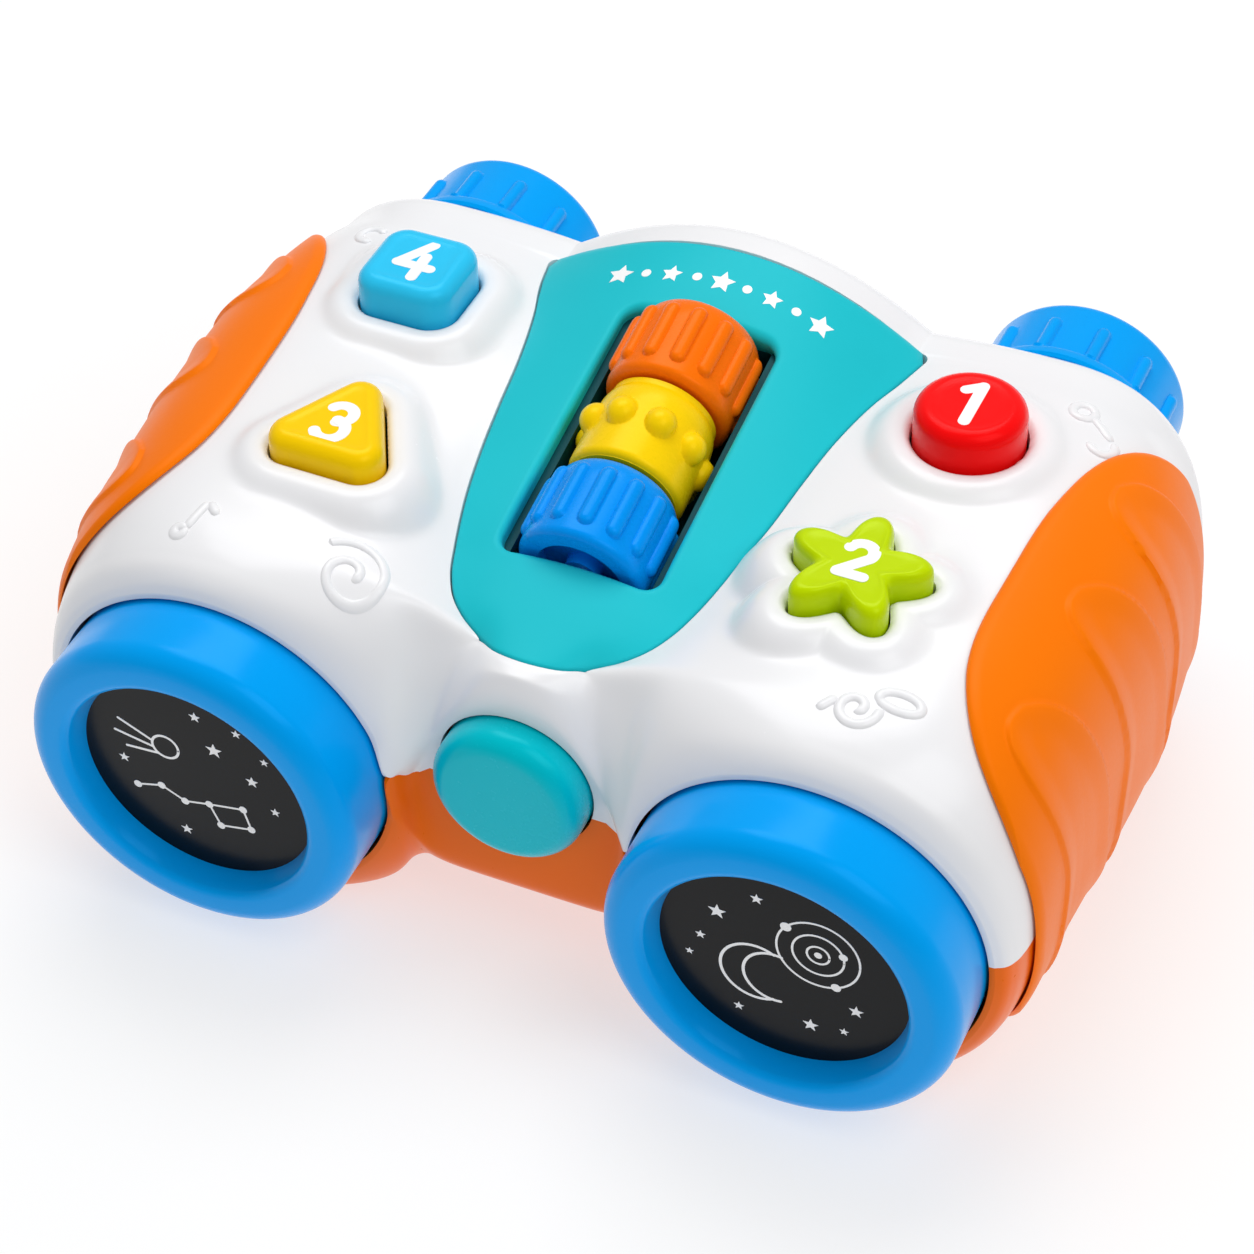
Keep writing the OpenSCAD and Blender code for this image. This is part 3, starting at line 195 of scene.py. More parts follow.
def round_front(points):
    """Draws the skin forward and down at the panel's front end, which is round."""
    half_w, forward, down, corner_x, corner_back = 12.5, 3.0, 1.4, 9.2, 0.9
    p = np.array(points, float)
    x, behind = np.abs(p[..., 0]), p[..., 1] - panel_y0
    share = (1 - limit(x / half_w) ** 2) ** 1.5
    share = share * smooth((behind + 7.8) / 6) * (1 - smooth(behind / 14))
    corner = np.exp(-((x - corner_x) / 2.2) ** 2 - (behind / 4) ** 2)
    p[..., 1] += corner_back * corner - forward * share
    p[..., 2] -= down * share
    return p


def case_skin(row, side, seats, between, sides):
    """Outer skin of a shell as rows of points, from its left seam to its right seam."""
    cx, wide, high, n = barrel(row.ys)
    wide = wide - row.tuck
    low = lerp(high, foot_reach, row.along)
    n_low = foot_power(n)
    tilt = np.arcsin(seam / wide)
    half_w, edge, crown = panel(row.ys)
    if side < 0:
        half_w, edge = np.full_like(cx, arch_half_w), np.full_like(cx, arch_z)
        crown = edge
    xe = lerp(cx - wide * np.cos(tilt) - bridge_corner, half_w, row.along)
    corner = row.corner if side > 0 else row.up

    def lift(z, share):
        return seam + (z - seam) * share

    def floor_cut(z):
        return (z - axis_h + np.sqrt((z + axis_h) ** 2 + 0.25)) / 2

    q = np.linspace(0, 1, seats)[None]
    seat_drop = seat_depth * row.seat if side > 0 else 0 * row.seat
    seat_z = lift(lerp(crown[:, None], edge[:, None], q ** 2) - seat_drop[:, None],
                  lerp(row.up[:, None], corner[:, None], q ** 4))
    seats_grid = np.stack([q * xe[:, None], np.repeat(row.ym[:, None], seats, 1), seat_z], 2)
    columns = [np.stack([xe + groove, row.ym, lift(edge, corner)], 1)]
    for k in range(1, 7):
        m = k / 6
        a = lerp(side * tilt, math.pi / 2, (k - 1) / 5)
        x = cx - lerp(wide * np.cos(a), (cx - xe) * (1 - m), row.along)
        if side > 0:
            round_z, foot, flow = superellipse(x - cx, wide, high, n), high, m * (2 - m)
        else:
            round_z, foot = floor_cut(-superellipse(x - cx, wide, low, n_low)), floor_cut(-low)
            flow = smooth(m / 0.5)
        flow_z = lerp(lift(edge, row.up), lift(foot, row.side_up), flow)
        z = lerp(lift(round_z, row.side_up), flow_z, row.along)
        if side > 0:
            z = np.maximum(seam, z)
        if k == 1:
            z = np.where(row.along < 1e-6, seam, z)
        columns.append(np.stack([x, row.ys, z], 1))
    columns = np.stack(columns, 1)
    # The round outside of the barrel, in even steps round its section
    low_a = np.arcsin((seam / high) ** (n / 2))
    end = low_a if side > 0 else np.zeros_like(low_a)
    fine = np.linspace(0, 1, 300) ** 2.5
    a = math.pi / 2 - (math.pi / 2 - end[:, None]) * fine[None]
    power = (n if side > 0 else n_low)[:, None]

    def round_points(a):
        x = cx[:, None] + wide[:, None] * np.maximum(np.cos(a), 0) ** (2 / power)
        s = np.maximum(np.sin(a), 0) ** (2 / power)
        z = high[:, None] * s if side > 0 else floor_cut(-low[:, None] * s)
        return np.stack([x, np.repeat(row.ys[:, None], a.shape[1], 1), lift(z, row.side_up[:, None])], 2)

    dense = round_points(a)
    run = np.cumsum(np.linalg.norm(np.diff(dense, axis=1), axis=2), axis=1)
    run = np.concatenate([np.zeros((len(run), 1)), run], 1) + 1e-9 * np.arange(300)
    even = np.stack([np.interp(np.linspace(0, r[-1], sides), r, t) for r, t in zip(run, a)])
    outside = round_points(even)
    rim = np.stack([cx + wide * np.cos(low_a) ** (2 / n), row.ys, np.full_like(cx, seam)], 1)[:, None]
    if side > 0:
        outside[:, -1:] = rim
    else:
        outside = np.concatenate([outside, lerp(outside[:, -1:], rim, 0.5), rim], 1)
    straight = 2 * columns[:, 0] - columns[:, 1]
    before = lerp(seats_grid[:, -2], straight, smooth((row.k - 2) / 3)[:, None])
    inside = through_columns(columns, between, before, outside[:, 3])
    half = np.concatenate([seats_grid, inside, outside], 1)
    # The nose is eased where the bridge turns into the barrels
    column = np.arange(half.shape[1])[None]
    fade = np.where(column > seats, 1 - smooth((row.ys - panel_y0) / 10)[:, None],
                    smooth((5 - row.k) / 1.5)[:, None])
    ease_rounds, ease_share = 24, 0.8
    hold = fade * smooth(row.k / 1.2)[:, None] * smooth((seats + 6 * between - column) / between)
    for _ in range(ease_rounds):
        wide_half = np.concatenate([half[:, 1:2] * np.array([-1, 1, 1]), half], 1)
        mean = (half[:-2, :-1] + half[2:, :-1] + wide_half[1:-1, :-2] + half[1:-1, 1:]) / 4
        half[1:-1, :-1] += ease_share * hold[1:-1, :-1, None] * (mean - half[1:-1, :-1])
    # The seam steps down beside the rings, outside the front button
    front = (row.k < 1)[:, None] & (np.arange(half.shape[1]) < seats + between)[None]
    step = notch_drop * smooth((half[..., 0] - notch_x) / notch_w) * (1 - row.k[:, None])
    half[..., 2] -= np.where(front, step, 0) * smooth((half[..., 1] - lip_y - 1) / 2.5)
    half[..., 2] = np.maximum(half[..., 2], -axis_h)
    half = round_front(half) if side > 0 else half
    mirrored = half[:, :0:-1] * np.array([-1, 1, 1])
    return np.concatenate([mirrored, half], 1)


def inner_skin(skin, row):
    """The inside of a shell: its skin moved in by the wall, or round the ring near the lips."""
    normal = np.cross(np.gradient(skin, axis=1), np.gradient(skin, axis=0))
    even_rounds, case_middle = 12, np.array([0, 65, 0])
    for _ in range(even_rounds):
        normal /= np.linalg.norm(normal, axis=2, keepdims=True) + 1e-9
        normal[1:-1, 1:-1] += (normal[:-2, 1:-1] + normal[2:, 1:-1]
                               + normal[1:-1, :-2] + normal[1:-1, 2:])
    normal /= np.linalg.norm(normal, axis=2, keepdims=True) + 1e-9
    outward = np.sign(np.sum(normal * (skin - case_middle), axis=2).sum())
    inside = skin - wall_t * outward * normal
    hand = np.where(skin[..., 0] < 0, -1, 1)
    cx = hand * barrel(row.ys)[0][:, None]
    spoke = np.stack([skin[..., 0] - cx, skin[..., 2]], 2)
    spoke *= (ring_r + lip_fit) / (np.linalg.norm(spoke, axis=2, keepdims=True) + 1e-9)
    near = (row.k < 3)[:, None] & (np.abs(skin[..., 0]) > cx * hand - ring_r - 1.5)
    ring_side = np.stack([cx + spoke[..., 0], skin[..., 1], spoke[..., 1]], 2)
    return np.where(near[..., None], ring_side, inside)


def grid_faces(rows, cols, start=0, turned=False, around=False):
    """Four-sided faces over a grid of points, closed round its columns where it goes round."""
    r, c = np.meshgrid(np.arange(rows - 1), np.arange(cols if around else cols - 1), indexing="ij")
    n = (c + 1) % cols
    faces = np.stack([r * cols + c, r * cols + n, (r + 1) * cols + n, (r + 1) * cols + c], -1)
    faces = faces.reshape(-1, 4)
    return start + (faces[:, ::-1] if turned else faces)


def wall_between(outer, inner, turned):
    """A closed wall between two skins with the same rows and columns."""
    rows, cols = outer.shape[:2]
    size = rows * cols
    rim = ([(0, c) for c in range(cols)] + [(r, cols - 1) for r in range(1, rows)]
           + [(rows - 1, c) for c in range(cols - 2, -1, -1)] + [(r, 0) for r in range(rows - 2, 0, -1)])
    at = np.array([r * cols + c for r, c in rim])
    nxt = np.roll(at, -1)
    edge = np.stack([nxt, at, at + size, nxt + size], 1)
    faces = np.concatenate([grid_faces(rows, cols), grid_faces(rows, cols, size, True), edge])
    return (np.concatenate([outer.reshape(-1, 3), inner.reshape(-1, 3)]),
            faces[:, ::-1] if turned else faces)


def make(name, points, faces, sharp=35):
    """A piece from points in millimetres, set on the table, smooth but for its sharp edges."""
    mesh = bpy.data.meshes.new(name)
    spots = (np.asarray(points, float) + np.array([0, -length / 2, axis_h])) / 1000
    mesh.from_pydata(spots.tolist(), [], [list(map(int, f)) for f in faces])
    mesh.validate()
    obj = bpy.data.objects.new(name, mesh)
    bpy.context.scene.collection.objects.link(obj)
    soften(mesh, sharp)
    return obj


def soften(mesh, sharp=35):
    """Smooth shading, but for edges sharper than the angle in degrees."""
    mesh.shade_smooth()
    mesh.set_sharp_from_angle(angle=math.radians(sharp))


def prism(outline, low, high):
    """A straight block over an outline, for a cut."""
    n = len(outline)
    flat = np.asarray(outline, float)
    points = np.concatenate([np.c_[flat, np.full(n, low)], np.c_[flat, np.full(n, high)]])
    sides = [[k, (k + 1) % n, n + (k + 1) % n, n + k] for k in range(n)]
    return points, sides + [list(range(n))[::-1], list(range(n, 2 * n))]


def merged(blocks):
    """The points and faces of several blocks as one."""
    points, faces = [], []
    for block_points, block_faces in blocks:
        faces += [[len(points) + i for i in f] for f in block_faces]
        points += [list(p) for p in block_points]
    return points, faces


def cut_away(obj, blocks):
    """Takes the blocks out of a piece."""
    tool = make("tool", *merged(blocks))
    cut = obj.modifiers.new("cut", "BOOLEAN")
    cut.operation, cut.solver, cut.object = "DIFFERENCE", "MANIFOLD", tool
    whole = obj.evaluated_get(bpy.context.evaluated_depsgraph_get())
    mesh = bpy.data.meshes.new_from_object(whole)
    obj.modifiers.clear()
    obj.data = mesh
    bpy.data.objects.remove(tool)
    soften(mesh)


def round_steps(steps):
    return np.linspace(0, 2 * math.pi, steps, endpoint=False)


def circle(r, steps=64):
    a = round_steps(steps)
    return np.stack([r * np.cos(a), r * np.sin(a)], 1)


def rectangle(w, d):
    return np.array([[-w, -d], [w, -d], [w, d], [-w, d]]) / 2


def facing_rear(block, x, y, z):
    """Turns a block that was drawn upright so that its height runs to the rear."""
    points, faces = block
    return np.c_[points[:, 0] + x, points[:, 2] + y, z - points[:, 1]], faces


def moved(block, x, y):
    return block[0] + np.array([x, y, 0.0]), block[1]


class Shade:
    """One socket of a finish. Sums on it add the nodes that work them out."""

    def __init__(self, tree, socket=None):
        self.tree = tree
        self.socket = socket

    def node(self, kind, settings=None, sockets=None, out=0):
        made = self.tree.nodes.new("ShaderNode" + kind)
        for key, value in (settings or {}).items():
            setattr(made, key, value)
        for key, value in (sockets or {}).items():
            if isinstance(value, Shade):
                self.tree.links.new(value.socket, made.inputs[key])
            else:
                made.inputs[key].default_value = value
        return Shade(self.tree, made.outputs[out]) if made.outputs else made

    def sum(self, operation, left, right):
        return self.node("Math", {"operation": operation}, {0: left, 1: right})

    def __add__(self, other):
        return self.sum("ADD", self, other)

    def __radd__(self, other):
        return self.sum("ADD", other, self)

    def __sub__(self, other):
        return self.sum("SUBTRACT", self, other)

    def __rsub__(self, other):
        return self.sum("SUBTRACT", other, self)

    def __mul__(self, other):
        return self.sum("MULTIPLY", self, other)

    def __rmul__(self, other):
        return self.sum("MULTIPLY", other, self)

    def blend(self, first, second):
        """The first colour where this is 0 and the second where it is 1."""
        return self.node("Mix", {"data_type": "RGBA"}, {0: self, 6: first, 7: second}, out=2)


def paint(colour, share=1.0):
    """A colour of 0 to 255 a channel as the shader wants it."""
    c = np.array(colour) / 255
    linear = np.where(c <= 0.04045, c / 12.92, ((c + 0.055) / 1.055) ** 2.4)
    return (*np.clip(linear * share, 0, 1), 1)


def plastic(name, colour, rough=0.26, cloud=0.03, grain=0.004, grain_size=900.0, gloss=0.45,
            **constants):
    """Moulded plastic: a little colour drift from the mould, and a fine satin grain."""
    finish = bpy.data.materials.new(name)
    finish.use_nodes = True
    finish.node_tree.nodes.clear()
    start = Shade(finish.node_tree)
    sheen = tuple(0.08 + 0.92 * c for c in paint(colour)[:3]) + (1,)
    place = start.node("TexCoord", out="Object")
    drift = start.node("TexNoise", None, {"Vector": place, "Scale": 45.0, "Detail": 3.0})
    speck = start.node("TexNoise", None, {"Vector": place, "Scale": grain_size, "Detail": 2.0})
    skin = start.node("Bump", None, {"Strength": grain, "Distance": 0.0005, "Height": speck})
    body = start.node("BsdfPrincipled", None, {
        "Base Color": drift.blend(paint(colour, 1 - cloud), paint(colour, 1 + cloud)),
        "Roughness": rough + 0.1 * (speck - 0.5) + 0.06 * (drift - 0.5), "Normal": skin,
        "Specular IOR Level": gloss, "Specular Tint": sheen, **constants})
    start.node("OutputMaterial", None, {"Surface": body})
    return finish


def finish_piece(obj, finish, body, slot, *nodes):
    """Gives a piece its finish, the body it rides on and the solids that it stands for."""
    obj.data.materials.clear()
    obj.data.materials.append(finish)
    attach(obj, body)
    if nodes:
        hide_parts(*nodes)


def dress(finish, *nodes):
    """Gives solids that keep their own shape a finish."""
    for name in nodes:
        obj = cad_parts[name]
        if not obj.material_slots:
            obj.data.materials.append(finish)
        for held in obj.material_slots:
            held.material = finish


rows = case_rows(46, 200, 12)
skin = case_skin(rows, -1, 10, 9, 50)
lower = make("lower_case", *wall_between(skin, inner_skin(skin, rows), True))
puck_z, puck_bore_r = 7.6, 13.75
bore = facing_rear(prism(circle(puck_bore_r), 15, 26), 0, 0, puck_z)
speaker_x, speaker_y, grille_r, slot_pitch, slot_r = 52, 70, 14, 3.2, 0.9
slots = []
for k in range(-4, 5):
    half = math.sqrt(grille_r ** 2 - (slot_pitch * k) ** 2) - slot_r
    outline = [p + [0, half if p[1] > 1e-9 else -half] for p in circle(slot_r, 16)]
    slots.append(moved(prism(outline, -axis_h - 1, -axis_h + 4), speaker_x + slot_pitch * k, speaker_y))
sink_r = 2.85
screw_spots = [(s * x, y) for s in (-1, 1) for x, y in ((30.6, 32), (30.6, 102), (65, 102))]
sinks = [moved(prism(circle(sink_r, 24), -axis_h - 1, -axis_h + 10), x, y) for x, y in screw_spots]
# Width, length and place of the battery door and of the power switch in the arch
arch_openings = [(30, 53.6, 72), (13.9, 4.9, 108)]
arch_cuts = [moved(prism(rectangle(w, d), arch_z - 2, arch_z + 5), 0, y) for w, d, y in arch_openings]
cut_away(lower, [bore] + arch_cuts + slots + sinks)
orange_plastic = plastic("orange_moulded_plastic", orange, 0.3)
finish_piece(lower, orange_plastic, "case", "orange_plastic", "lower_shell")

# Works inside the case: cells in their tray behind a screwed door, two button boards, a front
# board, the loudspeaker over its slots, the power switch, lamps behind the lenses, and screws.
dress(orange_plastic, "battery_tray", "battery_door")
dark_plastic = plastic("dark_satin_plastic", (38, 40, 44), 0.45, grain=0.05)
dress(dark_plastic, "button_switches", "front_switch", "power_switch_body", "power_switch_knob", "speaker")
board_green = plastic("board_lacquer", (18, 96, 58), 0.35, cloud=0.2, grain_size=300.0)
dress(board_green, "left_board", "right_board", "front_board", "led_boards")
steel = plastic("bright_steel", (196, 198, 202), 0.28, cloud=0.08, grain=0.05, Metallic=1.0)
dress(steel, "battery_contacts", "battery_door_screw", "case_screws", "board_screws", "cradle_screws",
      "roller_axle", "eyepiece_clips", "round_button_spring", "star_button_spring",
      "triangle_button_spring", "square_button_spring", "front_button_spring")
dress(plastic("cell_wrap", (60, 62, 66), 0.35, cloud=0.1), "batteries")
dress(plastic("cone_paper", (24, 24, 26), 0.8, grain=0.3, grain_size=500.0), "speaker_cone")
dress(plastic("lamp_resin", (244, 240, 226), 0.15), "lens_leds")

# Rollers: three plastic rollers side by side on one steel axle, the outer two with rounded ribs
# and the middle one with a ring of large round bumps. They turn freely in a cradle under the panel.
window_y, window_w, window_len, axle_drop = 68.75, 28.0, 54.0, 4.5
roller_len, roller_gap, front_round, rear_round, rear_fall = 17.2, 0.6, 1.4, 5.0, 2.4
rib_base_r, rib_h, rib_half_w, rib_count = 11.2, 0.95, 1.35, 14
bump_base_r, bump_seat_r, bump_r, bump_count = 10.3, 9.4, 3.05, 9
# Radius and depth from the roller's end, from its rim to the bore for the axle
roller_hollow = [(7.6, 0.0), (7.3, 0.4), (7.2, 2.4), (3.2, 2.6), (3.0, 0.4), (1.62, 0.4)]
slope = math.atan((crown_rear - crown_front) / (panel_y1 - panel_y0))
window_z = float(panel(np.array([window_y]))[2][0])


def sloped(points):
    """Sets points that were drawn about the window's middle into the panel's slope."""
    p = np.asarray(points, float)
    return np.stack([p[..., 0], window_y + p[..., 1] * math.cos(slope) - p[..., 2] * math.sin(slope),
                     window_z + p[..., 1] * math.sin(slope) + p[..., 2] * math.cos(slope)], -1)


def from_nearest(a, count, spin):
    """How far round each angle is from the nearest of some evenly spaced ribs or bumps."""
    pitch = 2 * math.pi / count
    return np.mod(a - math.radians(spin) + pitch / 2, pitch) - pitch / 2


def make_round(name, grid, turned=False):
    """A piece from rings of points, one row of the grid for each ring."""
    return make(name, grid.reshape(-1, 3), grid_faces(*grid.shape[:2], 0, turned, True))


def roller(name, k, bumps, spin):
    """A roller with hollow ends. Its skin is drawn in steps along its length and round it."""
    ends = roller_len / 2
    h = -ends * np.cos(np.linspace(0, math.pi, 96))
    a = round_steps(360)
    front = limit((front_round - ends - h) / front_round)
    rear = limit((h - ends + rear_round) / rear_round)
    rim = (bump_base_r if bumps else rib_base_r) - front_round * (1 - dome(front))
    rim = rim - rear_fall * (1 - dome(rear))
    r = np.repeat(rim[:, None], len(a), 1)
    near = from_nearest(a, bump_count if bumps else rib_count, spin) * 11
    if bumps:
        away = np.hypot(near[None], h[:, None] - 0.4)
        r = np.maximum(r, bump_seat_r + bump_r * dome(away / bump_r))
    else:
        along = np.maximum(0, np.maximum(-4.6 - h, h - 4.8))
        away = np.hypot(near[None], along[:, None])
        r = r + rib_h * dome(away / rib_half_w)
    skin = np.stack([r * np.sin(a), np.repeat(h[:, None], len(a), 1), r * np.cos(a)], 2)
    section = [(d, y - ends) for d, y in roller_hollow] + [(d, ends - y) for d, y in roller_hollow[::-1]]
    hollow = [np.stack([d * np.sin(a), np.full(len(a), y), d * np.cos(a)], 1) for d, y in section]
    grid = np.concatenate([np.stack(hollow[5::-1]), skin, np.stack(hollow[:5:-1]), np.stack(hollow[5:6])])
    grid = grid + np.array([0, k * (roller_len + roller_gap), -axle_drop])
    return make_round(name, sloped(grid), True)


# Colour, slot and turn at rest of each roller, from the rear to the front
roller_looks = {"rear": ((254, 116, 6), "orange_plastic", 9),
                "middle": ((255, 212, 8), "yellow_plastic", 23),
                "front": ((0, 148, 244), "blue_plastic", 4)}
for k, (name, (colour, slot, spin)) in enumerate(roller_looks.items()):
    obj = roller(f"{name}_roller", 1 - k, name == "middle", spin)
    finish = plastic(f"{name}_roller_plastic", colour, 0.27)
    finish_piece(obj, finish, f"roller_{name}", slot, f"roller_{name}")

# Press buttons: four moulded caps, a square, a triangle, a star and a round one, each with a soft
# round edge and a white printed numeral. Each slides in its own collar over a spring and a switch.
travel_gap, skirt = 0.45, 3.4
round_cap_r, square_cap_half, square_corner_r = 9.4, 8.8, 4.6
triangle_reach, triangle_corner_r, triangle_width = 7.9, 4.2, 0.92
star_cap_r, star_wave = 9.5, 0.28


def round_corners(n, reach, r, turn, steps=10):
    """An outline of round corners that stand round a middle, with straight sides between them."""
    a = np.linspace(-math.pi / n, math.pi / n, steps)
    corners = math.radians(turn) + 2 * math.pi / n * np.arange(n)
    return np.concatenate([np.stack([reach * np.cos(c) + r * np.cos(c + a),
                                     reach * np.sin(c) + r * np.sin(c + a)], 1) for c in corners])


def button_outline(kind, grow):
    """A cap's outline about its own middle, grown or shrunk."""
    if kind == "round":
        return circle(round_cap_r + grow, 96)
    if kind == "square":
        reach = (square_cap_half - square_corner_r) * math.sqrt(2)
        return round_corners(4, reach, square_corner_r + grow, 45)
    if kind == "triangle":
        return round_corners(3, triangle_reach, triangle_corner_r + grow, 90, 14) * [triangle_width, 1]
    a = round_steps(180)
    d = star_cap_r * (1 + star_wave * np.cos(5 * (a - math.pi / 2))) + grow
    return np.stack([d * np.cos(a), d * np.sin(a)], 1)


def shell_top(x, y):
    """Height of the upper shell's plain skin beside the panel."""
    y = np.asarray(y, float)
    cx, wide, high, n = barrel(y)
    half_w, edge, _ = panel(y)
    x = np.abs(x)
    m = limit((x - half_w) / (cx - half_w))
    return np.where(x < cx, lerp(edge, high, m * (2 - m)), superellipse(x - cx, wide, high, n))


# Place of each button and how far it stands above the plain skin
buttons = {"round": (50.0, 88.5, 8.4), "star": (45.3, 49.6, 6.2),
           "triangle": (-45.3, 48.4, 6.2), "square": (-50.0, 87.8, 8.4)}


def ribbon(path, width, low, high):
    """A printed stroke with round ends along a path, as a thin block."""
    p = np.asarray(path, float)
    run = np.gradient(p, axis=0)
    run /= np.linalg.norm(run, axis=1, keepdims=True)
    side = np.stack([-run[:, 1], run[:, 0]], 1) * width / 2
    cap = np.radians(np.linspace(90, -90, 9))[1:-1]
    out, across = np.cos(cap)[:, None], np.sin(cap)[:, None]
    tip = p[-1] + width / 2 * (out * run[-1] + across * side[-1] * 2 / width)
    tail = p[0] - width / 2 * (out * run[0] + across * side[0] * 2 / width)
    return prism(np.concatenate([p + side, tip, (p - side)[::-1], tail])[::-1], low, high)


def arc(x, y, r, a0, a1, steps=20, squash=1.0):
    a = np.radians(np.linspace(a0, a1, steps))
    return np.stack([x + r * np.cos(a), y + r * squash * np.sin(a)], 1)


def line(*spots, steps=6):
    spots = np.array(spots, float)
    return np.concatenate([lerp(spots[k], spots[k + 1], np.linspace(0, 1, steps)[:, None])
                           for k in range(len(spots) - 1)])


# Strokes of the numerals, in shares of a numeral's height
numerals = {"round": [line((-0.2, 0.3), (0.04, 0.48)), line((0.04, 0.48), (0.04, -0.48))],
            "star": [arc(0, 0.22, 0.26, 165, -38), line((0.2, 0.06), (-0.25, -0.43)),
                     line((-0.25, -0.46), (0.28, -0.46))],
            "triangle": [arc(0, 0.23, 0.24, 150, -85), arc(0, -0.22, 0.28, 85, -150)],
            "square": [line((0.1, 0.48), (-0.3, -0.16)), line((-0.3, -0.16), (0.32, -0.16)),
                       line((0.12, 0.12), (0.12, -0.48))]}

stroke_w = 2.05
print_white = plastic("printed_white", (250, 250, 250), 0.35, cloud=0.02)
button_paints = {"round": ("red_plastic", (252, 12, 14)), "star": ("green_plastic", (192, 220, 0)),
                 "triangle": ("yellow_plastic", (255, 208, 4)), "square": ("cyan_plastic", (46, 198, 244))}
for kind, (bx, by, up) in buttons.items():
    skin_z = float(shell_top(bx, by))
    top = skin_z + up - 0.03
    edge = 2.6 if kind != "star" else 2.0
    turn = np.radians(np.linspace(0, 90, 9))
    levels = [(skin_z - skirt, 0.0), (skin_z, 0.0)]
    levels += [(top - edge * (1 - math.sin(t)), edge * (1 - math.cos(t))) for t in turn]
    rings = []
    for z, inset in levels:
        outline = button_outline(kind, -inset)
        rings.append(np.c_[outline, np.full(len(outline), z)])
    last = rings[-1]
    for share in (0.93, 0.86, 0.7, 0.5, 0.3, 0.12, 0.002):
        sink = 0.16 * float(smooth((0.97 - share) / 0.1))
        rings.append(np.c_[last[:, :2] * share, np.full(len(last), top - sink)])
    grid = np.stack([rings[0] * np.array([0.002, 0.002, 1])] + rings) + np.array([bx, by, 0])
    cap_piece = make_round(f"{kind}_cap", grid)
    slot, colour = button_paints[kind]
    cap_plastic = plastic(f"{kind}_cap_plastic", colour, 0.24)
    finish_piece(cap_piece, cap_plastic, f"{kind}_button", slot, f"{kind}_button")
    size, shift = {"star": (8.0, 0.35), "triangle": (9.0, -0.4)}.get(kind, (9.8, 0.0))
    paths = [p * size + np.array([0, shift]) for p in numerals[kind]]
    numeral = [moved(ribbon(p, stroke_w, top - 0.5, top - 0.13 + 0.05 * k), bx, by)
               for k, p in enumerate(paths)]
    finish_piece(make(f"{kind}_numeral", *merged(numeral)), print_white, f"{kind}_button", "white_plastic")

# Upper shell: the glossy white half of the case, with a soft raised collar round each button and
# small raised marks. The centre panel lies in a seat in it, and the rollers come up through it.
rows = case_rows(46, 212, 14)
skin = case_skin(rows, 1, 10, 12, 90)


def outline_distance(points, outline):
    """Distance from each point to an outline, below zero inside it."""
    p, a = points[:, None], outline[None]
    b = np.roll(outline, -1, axis=0)[None]
    run = b - a
    t = limit(np.sum((p - a) * run, -1) / np.maximum(np.sum(run * run, -1), 1e-12))
    away = np.min(np.linalg.norm(p - a - t[..., None] * run, axis=-1), axis=1)
    cross = (a[..., 1] > p[..., 1]) != (b[..., 1] > p[..., 1])
    x_at = a[..., 0] + (p[..., 1] - a[..., 1]) * run[..., 0] / np.where(run[..., 1] == 0, 1e-12, run[..., 1])
    inside = np.sum(cross & (p[..., 0] < x_at), axis=1) % 2 == 1
    return np.where(inside, -away, away)


flat = skin.reshape(-1, 3)
top_side = flat[:, 2] > 18
collar_rise, collar_lip_r, collar_flat, collar_fall, collar_blend = 1.9, 1.5, 2.2, 6.5, 1.4
for kind, (bx, by, up) in buttons.items():
    near = np.where(top_side & (np.hypot(flat[:, 0] - bx, flat[:, 1] - by) < 30))[0]
    away = outline_distance(flat[near, :2] - np.array([bx, by]), button_outline(kind, travel_gap))
    collar_z = float(shell_top(bx, by)) + collar_rise
    lip = np.maximum(0, collar_lip_r - np.maximum(away, 0))
    fall = np.maximum(0, away - collar_flat)
    round_lip = collar_lip_r * (1 - dome(lip / collar_lip_r))
    form = collar_z - round_lip - fall ** 2 / collar_fall
    z = flat[near, 2]
    flat[near, 2] = (z + form + np.sqrt((z - form) ** 2 + collar_blend)) / 2


def spiral(x, y, r, turns, start=0.0, steps=60):
    t = np.linspace(0.12, 1, steps)
    a = np.radians(start) + 2 * math.pi * turns * t
    return np.stack([x + r * t * np.cos(a), y + r * t * np.sin(a)], 1)


def raised_line(path, r=0.95, tall=0.85):
    """A raised stroke with a round back and tapered ends, laid on the skin."""
    run = np.gradient(path, axis=0)
    run /= np.linalg.norm(run, axis=1, keepdims=True)
    way = np.concatenate([[0], np.cumsum(np.linalg.norm(np.diff(path, axis=0), axis=1))])
    full = dome(1 - limit(np.minimum(way, way[-1] - way) / 1.2))[:, None] + 0.01
    across = np.append(np.linspace(-1, 1, 11), 0)[None]
    spots = path[:, None] + np.stack([-run[:, 1], run[:, 0]], 1)[:, None] * (across * full * r)[..., None]
    lift = full * tall * dome(across) * (np.arange(12) < 11) - 0.3
    near = flat[top_side & (np.hypot(*(flat[:, :2] - path.mean(axis=0)).T) < 16)]
    away = np.sum((spots.reshape(-1, 1, 2) - near[None, :, :2]) ** 2, axis=2)
    weight = np.exp(-away / 0.5) + 1e-12
    level = (weight @ near[:, 2]) / weight.sum(axis=1)
    grid = np.concatenate([spots, (level.reshape(lift.shape) + lift)[..., None]], 2)
    return grid.reshape(-1, 3), grid_faces(*grid.shape[:2], 0, True, True)


